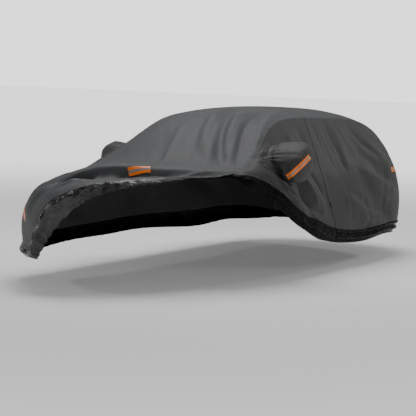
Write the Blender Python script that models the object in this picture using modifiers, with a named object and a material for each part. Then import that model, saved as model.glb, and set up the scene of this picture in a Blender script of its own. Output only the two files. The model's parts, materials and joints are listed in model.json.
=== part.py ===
"""Fitted cloth cover for a compact car, pulled up and turned back at its left front.

Units are metres.  +Z is up, the nose of the cover looks along -Y and its left side along +X.
The tables measure Y from the middle of the wheelbase and Z from the ground.  The pieces are
placed from HANG_POINT, the middle of the roof, where the cover rests on what it covers.

The cover is cut as a tailor would cut it: one centre panel from the nose over the roof to
the tail, one panel for the right side, two for the left side with a zip between them, a
pocket for each wing mirror, a gathered elastic band round the hem and five bright strips.
Every cloth piece is a flat grid that is laid on the form below, folded by the tables of
folds, and then given its thickness.
"""

import math

import bmesh
import bpy
import numpy as np
from mathutils import Matrix, Vector

# ---------------------------------------------------------------- driving sizes
HANG_POINT = (0.0, 0.300, 1.447)     # under the middle of the roof
CLOTH = 0.0020                       # thickness of a panel, band or pocket
TAPE = 0.0012                        # thickness of the strips and the zip's tapes
SEAM_GAP = 0.0008                    # between two panels along a seam
POCKET_GAP = 0.0014                  # between a pocket and the mouth it is sewn into
FOLD_MARGIN = 1.2                    # extra care where a seam is folded inwards
BAND_GAP = 0.0022                    # between a panel and its hem band

SIDE_ROWS = 11                       # cells from the seam down to the hem band
ACROSS = 18                          # cells across the centre panel
ACROSS_POWER = 1.3                   # above 1 draws them together towards the left
FRONT_COLUMNS = 24                   # cells from the nose's corner to the zip
REAR_COLUMNS = 22                    # cells from the zip to the tail's corner
BAND_ROWS = 2                        # cells across the hem band
BAND_SPLIT = 2                       # band columns for each column of the panel above it

# ---------------------------------------------------------------- the form
# One row a section, nose to tail: the middle of the section (x = 0) and the left seam.
SECTION_COLUMNS = ("name", "mid_y", "mid_z", "seam_x", "seam_y", "seam_z")
SECTIONS = (
    ("nose_low", -2.150, 0.215, 0.600, -2.040, 0.215),
    ("nose_mid", -2.262, 0.450, 0.620, -2.120, 0.450),
    ("nose_top", -2.225, 0.720, 0.600, -2.060, 0.705),
    ("bonnet_front", -2.030, 0.840, 0.650, -1.890, 0.790),
    ("bonnet", -1.600, 0.940, 0.720, -1.480, 0.883),
    ("screen_foot", -1.150, 1.015, 0.765, -0.950, 0.955),
    ("screen", -0.740, 1.215, 0.685, -0.570, 1.140),
    ("screen_top", -0.300, 1.382, 0.600, -0.210, 1.325),
    ("roof", 0.300, 1.447, 0.585, 0.330, 1.375),
    ("roof_rear", 1.050, 1.430, 0.590, 1.040, 1.345),
    ("roof_end", 1.680, 1.335, 0.600, 1.610, 1.250),
    ("tail_slope", 2.020, 1.120, 0.640, 1.880, 1.050),
    ("tail_top", 2.140, 0.830, 0.660, 2.010, 0.800),
    ("tail_mid", 2.165, 0.500, 0.670, 2.030, 0.490),
    ("tail_low", 2.100, 0.240, 0.640, 1.980, 0.240),
)
# The left side below the seam, at the same sections.
SIDE_COLUMNS = ("name", "belt_x", "belt_y", "belt_z", "waist_x", "waist_y", "waist_z",
                "hem_x", "hem_y", "hem_z")
SIDES = (
    ("bonnet_front", 0.775, -1.920, 0.665, 0.862, -1.890, 0.480, 0.835, -1.860, 0.195),
    ("bonnet", 0.865, -1.480, 0.765, 0.940, -1.450, 0.580, 0.925, -1.450, 0.240),
    ("screen_foot", 0.890, -1.020, 0.860, 0.955, -1.000, 0.620, 0.945, -1.000, 0.260),
    ("screen", 0.880, -0.640, 0.930, 0.957, -0.600, 0.660, 0.950, -0.600, 0.260),
    ("screen_top", 0.870, -0.220, 0.960, 0.960, -0.200, 0.680, 0.952, -0.200, 0.270),
    ("roof", 0.870, 0.330, 0.980, 0.962, 0.330, 0.700, 0.955, 0.330, 0.250),
    ("roof_rear", 0.865, 1.030, 0.995, 0.955, 1.010, 0.720, 0.950, 1.000, 0.215),
    ("roof_end", 0.830, 1.560, 0.980, 0.925, 1.520, 0.700, 0.925, 1.480, 0.240),
    ("tail_slope", 0.765, 1.860, 0.860, 0.850, 1.830, 0.620, 0.840, 1.800, 0.225),
)
RING_AT = (0.0, 0.40, 0.66, 1.0)     # seam, belt, waist and hem, as a share of the drop
SETBACK_POWER = 2.2                  # how the nose and tail round off towards the seam
CROWN_POWER = 2.4                    # how the roof and bonnet fall towards the seam
CORNER_REACH = 0.12                  # share of a side that follows the nose or tail seam
SEAM_BLEND = 0.12                    # distance over which two panels turn into each other
SIDE_DEPTH = 0.75                    # a side from its seam to its hem, about

# ---------------------------------------------------------------- edges on the form
# "run" is the length along the middle of the centre panel from the nose hem, "across" is
# -1 at its right seam and 1 at its left seam, "drop" is 0 at the seam and 1 at the hem.
FRONT_EDGE_COLUMNS = ("across", "panel_run", "hem_across", "hem_run", "rise", "reach")
FRONT_EDGE = (
    (-1.00, 0.100, -1.000, 0.000, 0.000, 0.20),
    (-0.93, 0.125, -0.940, 0.000, 0.010, 0.22),
    (-0.80, 0.210, -0.730, 0.095, 0.030, 0.28),
    (-0.60, 0.350, -0.430, 0.265, 0.075, 0.34),
    (-0.40, 0.490, -0.240, 0.382, 0.088, 0.36),
    (-0.20, 0.580, -0.100, 0.458, 0.070, 0.36),
    (0.00, 0.665, 0.090, 0.576, 0.072, 0.36),
    (0.20, 0.800, 0.290, 0.718, 0.044, 0.34),
    (0.40, 0.950, 0.480, 0.860, 0.028, 0.32),
    (0.60, 1.100, 0.680, 1.020, 0.020, 0.30),
    (0.80, 1.310, 0.860, 1.275, 0.016, 0.26),
    (0.95, 1.460, 0.965, 1.433, 0.014, 0.24),
    (1.00, 1.520, 1.000, 1.490, 0.016, 0.24),
)
LEFT_EDGE_COLUMNS = ("run", "panel_drop", "hem_run", "hem_drop", "rise", "reach")
LEFT_EDGE = (
    (1.520, 0.060, 1.493, 0.060, 0.016, 0.24),
    (1.560, 0.150, 1.510, 0.130, 0.020, 0.24),
    (1.680, 0.310, 1.560, 0.350, 0.030, 0.22),
    (1.900, 0.450, 1.817, 0.548, 0.040, 0.17),
    (2.080, 0.545, 2.000, 0.662, 0.045, 0.15),
    (2.350, 0.680, 2.290, 0.795, 0.045, 0.14),
    (2.580, 0.770, 2.545, 0.878, 0.030, 0.14),
    (2.820, 0.825, 2.810, 0.951, 0.018, 0.14),
    (3.050, 0.880, 3.050, 0.980, 0.012, 0.14),
    (3.330, 0.908, 3.330, 0.997, 0.010, 0.14),
    (3.700, 0.920, 3.700, 1.000, 0.008, 0.14),
    (4.600, 0.915, 4.600, 1.000, 0.006, 0.14),
    (5.293, 0.870, 5.293, 1.000, 0.000, 0.14),
)
RIGHT_EDGE_COLUMNS = ("run", "panel_drop")
RIGHT_EDGE = ((0.533, 0.812), (0.900, 0.860), (1.500, 0.890), (4.600, 0.900), (5.293, 0.870))
TAIL_DROP = 0.870                    # where the tail's panel ends, as on the sides
ZIP_COLUMNS = ("drop", "run")
ZIP_LINE = ((0.00, 3.223), (0.17, 3.112), (0.33, 3.032), (0.47, 2.990), (0.62, 2.995),
            (0.73, 3.053), (0.80, 3.112), (0.86, 3.150), (1.00, 3.190))

# ---------------------------------------------------------------- folds
# A fold's path runs through places on one panel: a run, a place across (or a drop) and the
# fold's height there, above 0 for a ridge and below 0 for a trough.  "at_ends" is the share
# of its height that a fold keeps at its two ends.  Its two widths are on the left and the
# right of the path, seen from outside.
FOLD_COLUMNS = ("panel", "at_ends", "left_width", "right_width", "path")
FOLDS = (
    # the crest over the bonnet, where the windscreen part turns down steeply
    ("centre", 1.0, 0.30, 0.065, ((0.60, -0.74, 0.025), (0.78, -0.60, 0.045), (0.92, -0.40, 0.070),
                             (1.03, -0.20, 0.088), (1.11, 0.05, 0.090), (1.22, 0.36, 0.066),
                             (1.36, 0.60, 0.050), (1.50, 0.86, 0.036), (1.57, 1.00, 0.024))),
    # the dark tuck under its right half, and the lip below that
    ("centre", 0.2, 0.045, 0.045, ((0.72, -0.70, -0.020), (0.84, -0.40, -0.045), (0.95, -0.12, -0.030))),
    ("centre", 0.2, 0.045, 0.060, ((0.66, -0.62, 0.020), (0.74, -0.35, 0.030), (0.84, -0.08, 0.016))),
    ("centre", 0.2, 0.050, 0.050, ((0.97, 0.30, 0.012), (1.17, 0.62, 0.018), (1.40, 0.92, 0.012))),
    # the trough in front of the crest, down to the turned-back edge
    ("centre", 0.2, 0.075, 0.075, ((0.98, 0.02, -0.020), (1.09, 0.28, -0.038), (1.22, 0.54, -0.040),
                             (1.36, 0.80, -0.030), (1.46, 0.96, -0.016))),
    # pulls on the windscreen part, from the roof down to the left mirror
    ("centre", 0.2, 0.070, 0.050, ((3.00, -0.22, 0.012), (2.40, 0.16, 0.018), (1.76, 0.56, 0.014))),
    ("centre", 0.2, 0.045, 0.070, ((3.13, -0.03, -0.020), (2.44, 0.37, -0.034), (1.70, 0.74, -0.026))),
    ("centre", 0.2, 0.060, 0.045, ((2.80, 0.36, 0.018), (2.35, 0.56, 0.026), (1.74, 0.79, 0.020))),
    ("centre", 0.2, 0.045, 0.065, ((2.99, 0.58, -0.022), (2.40, 0.74, -0.034), (1.78, 0.87, -0.024))),
    ("centre", 0.2, 0.060, 0.045, ((3.14, 0.72, 0.014), (2.50, 0.90, 0.022), (1.84, 0.97, 0.014))),
    ("centre", 0.2, 0.120, 0.120, ((2.60, -0.45, 0.010), (1.75, -0.72, 0.014))),
    # the turned-back nose
    ("centre", 0.2, 0.050, 0.060, ((0.36, -0.96, 0.014), (0.50, -0.84, 0.030), (0.70, -0.66, 0.016))),
    ("centre", 0.2, 0.050, 0.050, ((0.52, -0.97, -0.016), (0.72, -0.80, -0.026))),
    # left side, ahead of the zip: layers under the mirror pocket, then the door's patch
    ("left", 0.2, 0.055, 0.040, ((2.08, 0.42, 0.018), (2.28, 0.53, 0.034), (2.42, 0.59, 0.024))),
    ("left", 0.2, 0.040, 0.040, ((2.08, 0.48, -0.012), (2.26, 0.57, -0.022), (2.43, 0.63, -0.018))),
    ("left", 0.2, 0.050, 0.040, ((2.03, 0.50, 0.016), (2.22, 0.61, 0.026), (2.41, 0.68, 0.020))),
    ("left", 0.2, 0.045, 0.075, ((2.50, 0.42, -0.014), (2.54, 0.62, -0.040), (2.66, 0.78, -0.024))),
    ("left", 0.2, 0.080, 0.080, ((2.66, 0.46, 0.012), (2.78, 0.66, 0.030), (2.95, 0.82, 0.018))),
    ("left", 0.2, 0.070, 0.050, ((2.76, 0.05, 0.010), (2.66, 0.24, 0.018))),
    ("left", 0.2, 0.050, 0.060, ((2.98, 0.06, -0.010), (2.88, 0.40, -0.018))),
    # left side, behind the zip: pulls from the roof seam down to the tail's corner
    ("left", 0.2, 0.070, 0.070, ((3.46, 0.04, -0.014), (3.34, 0.27, -0.018), (3.28, 0.52, -0.010))),
    ("left", 0.2, 0.080, 0.070, ((3.66, 0.05, 0.014), (3.56, 0.30, 0.020), (3.54, 0.52, 0.012))),
    ("left", 0.2, 0.080, 0.070, ((3.89, 0.10, -0.018), (3.93, 0.34, -0.030), (4.17, 0.52, -0.028),
                            (4.56, 0.63, -0.018))),
    ("left", 0.2, 0.090, 0.080, ((4.14, 0.07, 0.016), (4.24, 0.32, 0.024), (4.62, 0.53, 0.018))),
    ("left", 0.2, 0.070, 0.070, ((4.50, 0.07, -0.016), (4.58, 0.28, -0.020), (4.72, 0.42, -0.012))),
    ("left", 0.2, 0.070, 0.060, ((3.76, 0.46, 0.022), (4.17, 0.61, 0.034), (4.66, 0.71, 0.024))),
    ("left", 0.2, 0.080, 0.070, ((3.72, 0.58, -0.018), (4.07, 0.74, -0.034), (4.56, 0.88, -0.020))),
    ("left", 0.2, 0.070, 0.070, ((4.52, 0.92, 0.016), (3.83, 0.84, 0.030), (3.36, 0.70, 0.018))),
    # right side
    ("right", 0.2, 0.100, 0.080, ((0.90, 0.30, 0.016), (1.30, 0.52, 0.030), (1.80, 0.80, 0.020))),
    ("right", 0.2, 0.080, 0.080, ((1.20, 0.16, -0.014), (1.70, 0.34, -0.024), (2.05, 0.44, -0.014))),
    ("right", 0.2, 0.090, 0.070, ((2.50, 0.44, 0.018), (2.62, 0.62, 0.030), (2.70, 0.84, 0.018))),
    ("right", 0.2, 0.080, 0.100, ((2.80, 0.12, -0.016), (2.90, 0.42, -0.028), (3.10, 0.78, -0.016))),
    ("right", 0.2, 0.100, 0.080, ((3.20, 0.06, 0.016), (3.50, 0.34, 0.030), (4.10, 0.62, 0.022))),
    ("right", 0.2, 0.080, 0.090, ((3.70, 0.06, -0.018), (4.05, 0.32, -0.032), (4.75, 0.58, -0.020))),
    ("right", 0.2, 0.100, 0.080, ((3.50, 0.56, 0.016), (4.10, 0.72, 0.028), (4.60, 0.86, 0.018))),
    ("right", 0.2, 0.080, 0.080, ((4.40, 0.08, 0.014), (4.70, 0.36, 0.022), (5.00, 0.56, 0.012))),
    # tail
    ("centre", 0.2, 0.100, 0.100, ((4.75, -0.84, 0.012), (5.10, -0.55, 0.024), (5.60, -0.20, 0.014))),
    ("centre", 0.2, 0.100, 0.100, ((4.75, 0.84, 0.012), (5.15, 0.60, 0.024), (5.62, 0.30, 0.014))),
    ("centre", 0.2, 0.110, 0.110, ((4.60, -0.25, -0.010), (5.10, -0.12, -0.020), (5.62, 0.0, -0.012))),
)
FOLD_STEPS = 5                       # places read along each leg of a fold's path
FOLD_FADE = 0.10                     # length over which a fold rises at its ends
MOUTH_CALM = (0.16, 0.25)            # folds fade out between these distances of a mouth
GATHER_PITCH = 0.110                 # one gather of the hem band
GATHER_HEIGHT = 0.007
FRONT_BULGE = 0.026                  # how far the turned-back band stands out
LOW_BULGE = 0.010                    # how far the band stands out elsewhere
BULGE_SHARE = 0.20                   # but no more than this share of its width
HEM_TUCK = 0.030                     # how far the elastic draws the hem inwards
HEM_LIFT = 0.006                     # the turned-back hem above the form
TUCK_FROM = 2.80                     # the run where the left hem starts to draw in
TUCK_OVER = 0.80                     # and the length over which it does so
CORNER_FADE = 0.10                   # share of the front over which its hem lifts off

# ---------------------------------------------------------------- fitted pieces
# A pocket's mouth is an oval on the side's form; "depth" is how far the pocket stands out
# of it, and its tip leans back by the last.
POCKET_COLUMNS = ("name", "side", "run", "drop", "half_run", "half_drop", "depth", "back")
POCKETS = (
    ("left_mirror_pocket", 1, 2.290, 0.280, 0.135, 0.155, 0.285, 0.050),
    ("right_mirror_pocket", -1, 2.290, 0.345, 0.120, 0.105, 0.235, 0.100),
)
# Root to tip: how far out as a share of the depth, and the size as a share of the mouth's.
BAG_COLUMNS = ("share", "out", "wide", "tall")
BAG = (
    (0.000, -0.03, 1.00, 1.00),
    (0.125, 0.08, 1.00, 1.00),
    (0.250, 0.20, 1.10, 1.18),
    (0.450, 0.42, 1.20, 1.36),
    (0.620, 0.65, 1.20, 1.38),
    (0.780, 0.85, 1.06, 1.20),
    (0.900, 0.96, 0.76, 0.82),
    (1.000, 1.00, 0.00, 0.00),
)
MOUTH_SQUARE = 2.6                   # 2 is an oval, more is squarer
POCKET_SEGMENTS = 20
POCKET_RINGS = 8
CUTTER_REACH = 0.10                  # of a mouth's cutter, to each side of the cloth

# A strip lies on a panel, between two places and "clear" of the cloth.  It needs more
# clearance where the cloth under it is folded.
STRIP_COLUMNS = ("name", "on", "panel", "clear", "run_0", "side_0", "run_1", "side_1")
STRIPS = (
    ("front_strip", "centre_panel", "centre", 0.0055, 1.096, 0.150, 1.203, 0.350),
    ("corner_strip", "right_panel", "right", 0.0011, 0.556, 0.425, 0.800, 0.500),
    ("tail_strip", "left_rear_panel", "left", 0.0020, 4.600, 0.530, 4.900, 0.505),
)
# A strip on a pocket is let down onto it against the direction that it faces.
POCKET_STRIP_COLUMNS = ("name", "on", "clear", "from_place", "to_place", "facing")
POCKET_STRIPS = (
    ("left_mirror_strip", "left_mirror_pocket", 0.0040,
     (1.078, -0.378, 1.094), (0.956, -0.540, 0.916), (0.62, -0.78, 0.06)),
    ("right_mirror_strip", "right_mirror_pocket", 0.0040,
     (-1.058, -0.345, 1.026), (-0.966, -0.487, 0.907), (-0.80, -0.58, 0.05)),
)
POCKET_STRIP_START = 0.10
STRIP_WIDTH = 0.046
STRIP_CELLS = (16, 4)
POCKET_STRIP_CELLS = (28, 4)
STRIP_START = 0.045                  # a strip is let down onto the cloth from this height

ZIP_TAPE_WIDTH = 0.009
ZIP_CHAIN_WIDTH = 0.006
ZIP_CHAIN_THICK = 0.0025
SLIDER_DROP = 8                      # the row of the panel where the slider sits
SLIDER_SIZE = (0.013, 0.022, 0.005)  # across, along and out of the chain
PULL_SIZE = (0.009, 0.032, 0.002)
PULL_GAP = 0.0004

FINISHES = {
    # name: red, green, blue, roughness
    "panel_cloth": (0.085, 0.088, 0.092, 0.62),
    "side_cloth": (0.058, 0.062, 0.058, 0.60),
    "band_cloth": (0.012, 0.012, 0.013, 0.34),
    "strip_tape": (0.900, 0.330, 0.030, 0.45),
    "zip_black": (0.010, 0.010, 0.011, 0.45),
}


# ---------------------------------------------------------------- curves
def row_values(table, columns, *names):
    """The named columns of a table, each as an array."""
    return [np.array([row[columns.index(name)] for row in table], float) for name in names]


def smooth_curve(knots, values):
    """A natural cubic curve through one row of values at each knot."""
    knots = np.asarray(knots, float)
    values = np.asarray(values, float)
    count = len(knots)
    gap = np.diff(knots)
    matrix = np.eye(count)
    right = np.zeros(values.shape)
    for i in range(1, count - 1):
        matrix[i, i - 1:i + 2] = gap[i - 1], 2 * (gap[i - 1] + gap[i]), gap[i]
        rise = (values[i + 1] - values[i]) / gap[i]
        right[i] = 6 * (rise - (values[i] - values[i - 1]) / gap[i - 1])
    bend = np.linalg.solve(matrix, right)

    def at(where):
        where = np.asarray(where, float)
        cell = np.clip(np.searchsorted(knots, where) - 1, 0, count - 2)
        size = gap[cell][..., None]
        low = (knots[cell + 1] - where)[..., None] / size
        high = 1 - low
        line = low * values[cell] + high * values[cell + 1]
        curl = (low ** 3 - low) * bend[cell] + (high ** 3 - high) * bend[cell + 1]
        return line + curl * size ** 2 / 6

    return at


def edge_curve(knots, values):
    """A curve through the values that never overshoots them."""
    knots = np.asarray(knots, float)
    values = np.asarray(values, float)
    gap = np.diff(knots)
    rise = np.diff(values) / gap
    slope = np.concatenate([rise[:1], (rise[:-1] + rise[1:]) / 2, rise[-1:]])
    flat = rise[:-1] * rise[1:] <= 0
    slope[1:-1][flat] = 0
    limit = 3 * np.minimum(np.abs(rise[:-1]), np.abs(rise[1:]))
    slope[1:-1] = np.clip(slope[1:-1], -limit, limit)

    def at(where):
        where = np.clip(np.asarray(where, float), knots[0], knots[-1])
        cell = np.clip(np.searchsorted(knots, where) - 1, 0, len(gap) - 1)
        part = (where - knots[cell]) / gap[cell]
        first = values[cell] * (1 + 2 * part) * (1 - part) ** 2
        last = values[cell + 1] * part ** 2 * (3 - 2 * part)
        turn = slope[cell] * (1 - part) ** 2 * part + slope[cell + 1] * (part - 1) * part ** 2
        return first + last + turn * gap[cell]

    return at


def unit(vectors):
    return vectors / np.linalg.norm(vectors, axis=-1, keepdims=True)


def ease(x):
    """0 to 1 with flat ends."""
    x = np.clip(x, 0, 1)
    return x * x * (3 - 2 * x)


# ---------------------------------------------------------------- the base form
SECTION_NAMES = [row[0] for row in SECTIONS]
SECTION_VALUES = np.array([row[1:] for row in SECTIONS])
RUNS = np.concatenate([[0], np.cumsum(np.hypot(*np.diff(SECTION_VALUES[:, :2], axis=0).T))])
RUN_OF = dict(zip(SECTION_NAMES, RUNS))
NOSE_CORNER = RUN_OF["nose_top"]
TAIL_CORNER = RUN_OF["tail_top"]
RUN_END = RUNS[-1]
SECTION_AT = smooth_curve(RUNS, SECTION_VALUES)


def seam_point(run):
    return SECTION_AT(run)[..., 2:5]


def centre_form(run, across):
    """The centre panel before folding."""
    mid_y, mid_z, seam_x, seam_y, seam_z = np.moveaxis(SECTION_AT(run), -1, 0)
    out = np.abs(across)
    y = mid_y + (seam_y - mid_y) * out ** SETBACK_POWER
    z = mid_z + (seam_z - mid_z) * out ** CROWN_POWER
    return np.stack([seam_x * across, y, z], -1)


def end_column(corner, end):
    """Belt, waist and hem where a side meets the nose's or the tail's seam."""
    drops = np.array(RING_AT)
    return seam_point(corner + (end - corner) * drops)


def side_cage():
    """Seam, belt, waist and hem at each section of the left side."""
    rows = [end_column(NOSE_CORNER, 0.0)]
    for row in SIDES:
        top = seam_point(RUN_OF[row[0]])
        rows.append(np.concatenate([top[None], np.array(row[1:]).reshape(3, 3)]))
    rows.append(end_column(TAIL_CORNER, RUN_END))
    runs = [NOSE_CORNER] + [RUN_OF[row[0]] for row in SIDES] + [TAIL_CORNER]
    return np.array(runs), np.array(rows)


CAGE_RUNS, CAGE = side_cage()
RING_CURVE = smooth_curve(CAGE_RUNS, CAGE.reshape(len(CAGE), -1))
DROP_BASIS = smooth_curve(RING_AT, np.eye(len(RING_AT)))


def loft(run, drop):
    rings = RING_CURVE(run).reshape(np.shape(run) + (len(RING_AT), 3))
    return np.einsum("...k,...kc->...c", DROP_BASIS(drop), rings)


def side_form(run, drop):
    """The left side before folding; its ends follow the nose's and the tail's seam."""
    run, drop = np.broadcast_arrays(np.asarray(run, float), np.asarray(drop, float))
    share = (run - NOSE_CORNER) / (TAIL_CORNER - NOSE_CORNER)
    front = np.clip(1 - share / CORNER_REACH, 0, 1)[..., None] ** 2
    rear = np.clip(1 - (1 - share) / CORNER_REACH, 0, 1)[..., None] ** 2
    nose = seam_point(NOSE_CORNER * (1 - drop)) - loft(np.full(run.shape, NOSE_CORNER), drop)
    tail_run = TAIL_CORNER + (RUN_END - TAIL_CORNER) * drop
    tail = seam_point(tail_run) - loft(np.full(run.shape, TAIL_CORNER), drop)
    top = (seam_point(run) - loft(run, np.zeros(run.shape))) * (1 - drop[..., None]) ** 2
    return loft(run, drop) + top + nose * front + tail * rear


def slope_normal(form, run, side):
    """The outward direction of a form."""
    step = 1e-3
    along = form(run + step, side) - form(run - step, side)
    down = form(run, side + step) - form(run, side - step)
    return unit(np.cross(down, along))


def seam_normal(run):
    """The direction that the two panels share on their seam."""
    side_run = np.clip(run, NOSE_CORNER, TAIL_CORNER)
    nose_drop = (NOSE_CORNER - run) / NOSE_CORNER
    tail_drop = (run - TAIL_CORNER) / (RUN_END - TAIL_CORNER)
    drop = np.maximum(np.maximum(nose_drop, tail_drop), 0)
    centre = slope_normal(centre_form, run, np.ones(np.shape(run)))
    return unit(centre + slope_normal(side_form, side_run, drop))


def near_seam(distance):
    """1 on a seam, falling to 0 at the distance where the panel no longer feels it."""
    return 1 - ease(distance / SEAM_BLEND)


def base(panel, run, side):
    """Place and outward direction on the form, for the panel named."""
    run, side = np.broadcast_arrays(np.asarray(run, float), np.asarray(side, float))
    mirror = np.array([-1.0 if panel == "right" else 1.0, 1.0, 1.0])
    if panel == "centre":
        place = centre_form(run, side)
        out = slope_normal(centre_form, run, side)
        seam = seam_normal(run)
        blend = near_seam(seam_point(run)[..., 0] - np.abs(place[..., 0]))
        seam[..., 0] *= np.sign(side)
    else:
        place = side_form(run, side)
        out = slope_normal(side_form, run, side)
        nose = near_seam(run - NOSE_CORNER)
        tail = near_seam(TAIL_CORNER - run)
        seam = seam_normal(run + side * ((RUN_END - TAIL_CORNER) * tail - NOSE_CORNER * nose))
        blend = np.maximum(np.maximum(nose, tail), near_seam(side * SIDE_DEPTH))
    out = unit(out + (seam - out) * blend[..., None])
    return place * mirror - np.array(HANG_POINT), out * mirror


# ---------------------------------------------------------------- folds on the form
FRONT = dict(zip(FRONT_EDGE_COLUMNS, row_values(FRONT_EDGE, FRONT_EDGE_COLUMNS,
                                                *FRONT_EDGE_COLUMNS)))
LEFT = dict(zip(LEFT_EDGE_COLUMNS, row_values(LEFT_EDGE, LEFT_EDGE_COLUMNS,
                                              *LEFT_EDGE_COLUMNS)))
RIGHT = dict(zip(RIGHT_EDGE_COLUMNS, row_values(RIGHT_EDGE, RIGHT_EDGE_COLUMNS,
                                                *RIGHT_EDGE_COLUMNS)))
front_panel_run = edge_curve(FRONT["across"], FRONT["panel_run"])
front_hem_across = edge_curve(FRONT["across"], FRONT["hem_across"])
front_hem_run = edge_curve(FRONT["across"], FRONT["hem_run"])
left_panel_drop = edge_curve(LEFT["run"], LEFT["panel_drop"])
left_hem_run = edge_curve(LEFT["run"], LEFT["hem_run"])
left_hem_drop = edge_curve(LEFT["run"], LEFT["hem_drop"])
right_panel_drop = edge_curve(RIGHT["run"], RIGHT["panel_drop"])
zip_run = edge_curve(*row_values(ZIP_LINE, ZIP_COLUMNS, *ZIP_COLUMNS))


def turned_edge():
    """Places along the turned-back edge, outwards there, its rise and its roll's reach."""
    across = np.linspace(-1, 1, 41)
    runs = np.linspace(LEFT["run"][0], 3.4, 31)
    front = base("centre", front_panel_run(across), across)
    left = base("left", runs, left_panel_drop(runs))
    rise = [edge_curve(FRONT["across"], FRONT["rise"])(across),
            edge_curve(LEFT["run"], LEFT["rise"])(runs)]
    reach = [edge_curve(FRONT["across"], FRONT["reach"])(across),
             edge_curve(LEFT["run"], LEFT["reach"])(runs)]
    places, out = (np.concatenate(pair) for pair in zip(front, left))
    return places, out, np.concatenate(rise), np.concatenate(reach)


def near_line(points, line, line_out):
    """Distance to a line of places, the nearest place on it (as an index), and the side.

    The side is 1 on the left of the line and -1 on its right, seen from outside, and in
    between past its ends.
    """
    flat = points.reshape(-1, 3)
    best = np.full(len(flat), np.inf)
    where = np.zeros(len(flat))
    side = np.zeros(len(flat))
    for i in range(len(line) - 1):
        step = line[i + 1] - line[i]
        part = np.clip((flat - line[i]) @ step / (step @ step), 0, 1)
        away = flat - line[i] - part[:, None] * step
        gap = np.linalg.norm(away, axis=1)
        closer = gap < best
        best[closer] = gap[closer]
        where[closer] = i + part[closer]
        turn = np.cross(step / np.linalg.norm(step), away) @ line_out[i]
        side[closer] = (turn / np.maximum(gap, 1e-9))[closer]
    shape = points.shape[:-1]
    return best.reshape(shape), where.reshape(shape), side.reshape(shape)


EDGE_LINE, EDGE_OUT, EDGE_RISE, EDGE_REACH = turned_edge()


def roll_height(points):
    """The soft roll that stands behind the turned-back edge."""
    gap, where = near_line(points, EDGE_LINE, EDGE_OUT)[:2]
    index = np.arange(len(EDGE_LINE))
    rise = np.interp(where, index, EDGE_RISE)
    reach = np.interp(where, index, EDGE_REACH)
    share = np.clip(gap / reach, 0, 1)
    return rise * (1 - share ** 2) ** 2


def fold_lines():
    """Each fold's path as places on the form, with its height and length at each."""
    lines = []
    for row in FOLDS:
        fold = dict(zip(FOLD_COLUMNS, row))
        legs = np.array(fold["path"])
        steps = np.arange(0, len(legs) - 1 + 0.5 / FOLD_STEPS, 1 / FOLD_STEPS)
        run, side, height = (np.interp(steps, np.arange(len(legs)), legs[:, k])
                             for k in range(3))
        line, out = base(fold["panel"], run, side)
        length = np.concatenate([[0], np.cumsum(np.linalg.norm(np.diff(line, axis=0), axis=1))])
        ends = np.minimum(length, length[-1] - length)
        fade = fold["at_ends"] + (1 - fold["at_ends"]) * ease(ends / FOLD_FADE)
        lines.append((fold, line, out, height * fade))
    return lines


FOLD_LINES = fold_lines()
MOUTHS = [base("left" if row[1] > 0 else "right", row[2], row[3])[0] for row in POCKETS]


def fold_height(points):
    """Ridges and troughs, each fading towards its ends and towards the pockets' mouths."""
    total = np.zeros(points.shape[:-1])
    for fold, line, out, height in FOLD_LINES:
        gap, where, side = near_line(points, line, out)
        left_share = ease((side + 1) / 2)
        width = fold["right_width"] + (fold["left_width"] - fold["right_width"]) * left_share
        total += np.interp(where, np.arange(len(line)), height) * np.exp(-(gap / width) ** 2)
    for middle in MOUTHS:
        away = np.linalg.norm(points - middle, axis=-1)
        total *= ease((away - MOUTH_CALM[0]) / (MOUTH_CALM[1] - MOUTH_CALM[0]))
    return total


def cloth(panel, run, side):
    """Place on the folded cloth and its outward direction."""
    place, out = base(panel, run, side)
    lift = roll_height(place) + fold_height(place)
    return place + out * lift[..., None], out


# ---------------------------------------------------------------- grids of the panels
def row_runs(first):
    """Runs of the rows from a first run to the tail's corner.

    The first and the second stretch share their ends with the right and left side, so
    that the centre panel meets both sides row for row.
    """
    right_first = front_panel_run(-1)
    left_first = front_panel_run(1)
    nose_share = (NOSE_CORNER - right_first) / (TAIL_CORNER - right_first)
    zip_share = (zip_run(0) - left_first) / (TAIL_CORNER - left_first)
    shares = np.concatenate([
        np.linspace(0, nose_share, SIDE_ROWS, endpoint=False),
        np.linspace(nose_share, zip_share, FRONT_COLUMNS, endpoint=False),
        np.linspace(zip_share, 1, REAR_COLUMNS + 1)])
    return first + (TAIL_CORNER - first) * shares


def across_steps():
    """Places across the centre panel, closer together on its folded left half."""
    return 1 - 2 * np.linspace(1, 0, ACROSS + 1) ** ACROSS_POWER


def centre_grid():
    """Runs and places across for the centre panel, with the tail's rows at the end."""
    across = across_steps()
    top = np.array([row_runs(front_panel_run(v)) for v in across]).T
    tail_end = TAIL_CORNER + (RUN_END - TAIL_CORNER) * TAIL_DROP
    tail = np.linspace(TAIL_CORNER, tail_end, SIDE_ROWS + 1)[1:, None]
    runs = np.concatenate([top, np.broadcast_to(tail, (SIDE_ROWS, len(across)))])
    return runs, np.broadcast_to(across, runs.shape)


def right_grid():
    """Runs and drops for the right side."""
    runs = row_runs(front_panel_run(-1))[SIDE_ROWS:]
    drops = right_panel_drop(runs)[:, None] * np.linspace(0, 1, SIDE_ROWS + 1)
    return np.broadcast_to(runs[:, None], drops.shape), drops


def left_grid():
    """Runs and drops for the whole left side, with one column on the zip."""
    runs = row_runs(front_panel_run(1))
    zip_at = zip_run(0)
    pull = np.where(runs < zip_at, (runs - runs[0]) / (zip_at - runs[0]),
                    (runs[-1] - runs) / (runs[-1] - zip_at))
    low_runs = runs + pull * (zip_run(ZIP_LINE[-2][0]) - zip_at)
    drops = left_panel_drop(low_runs)[:, None] * np.linspace(0, 1, SIDE_ROWS + 1)
    return runs[:, None] + pull[:, None] * (zip_run(drops) - zip_at), drops


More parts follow.
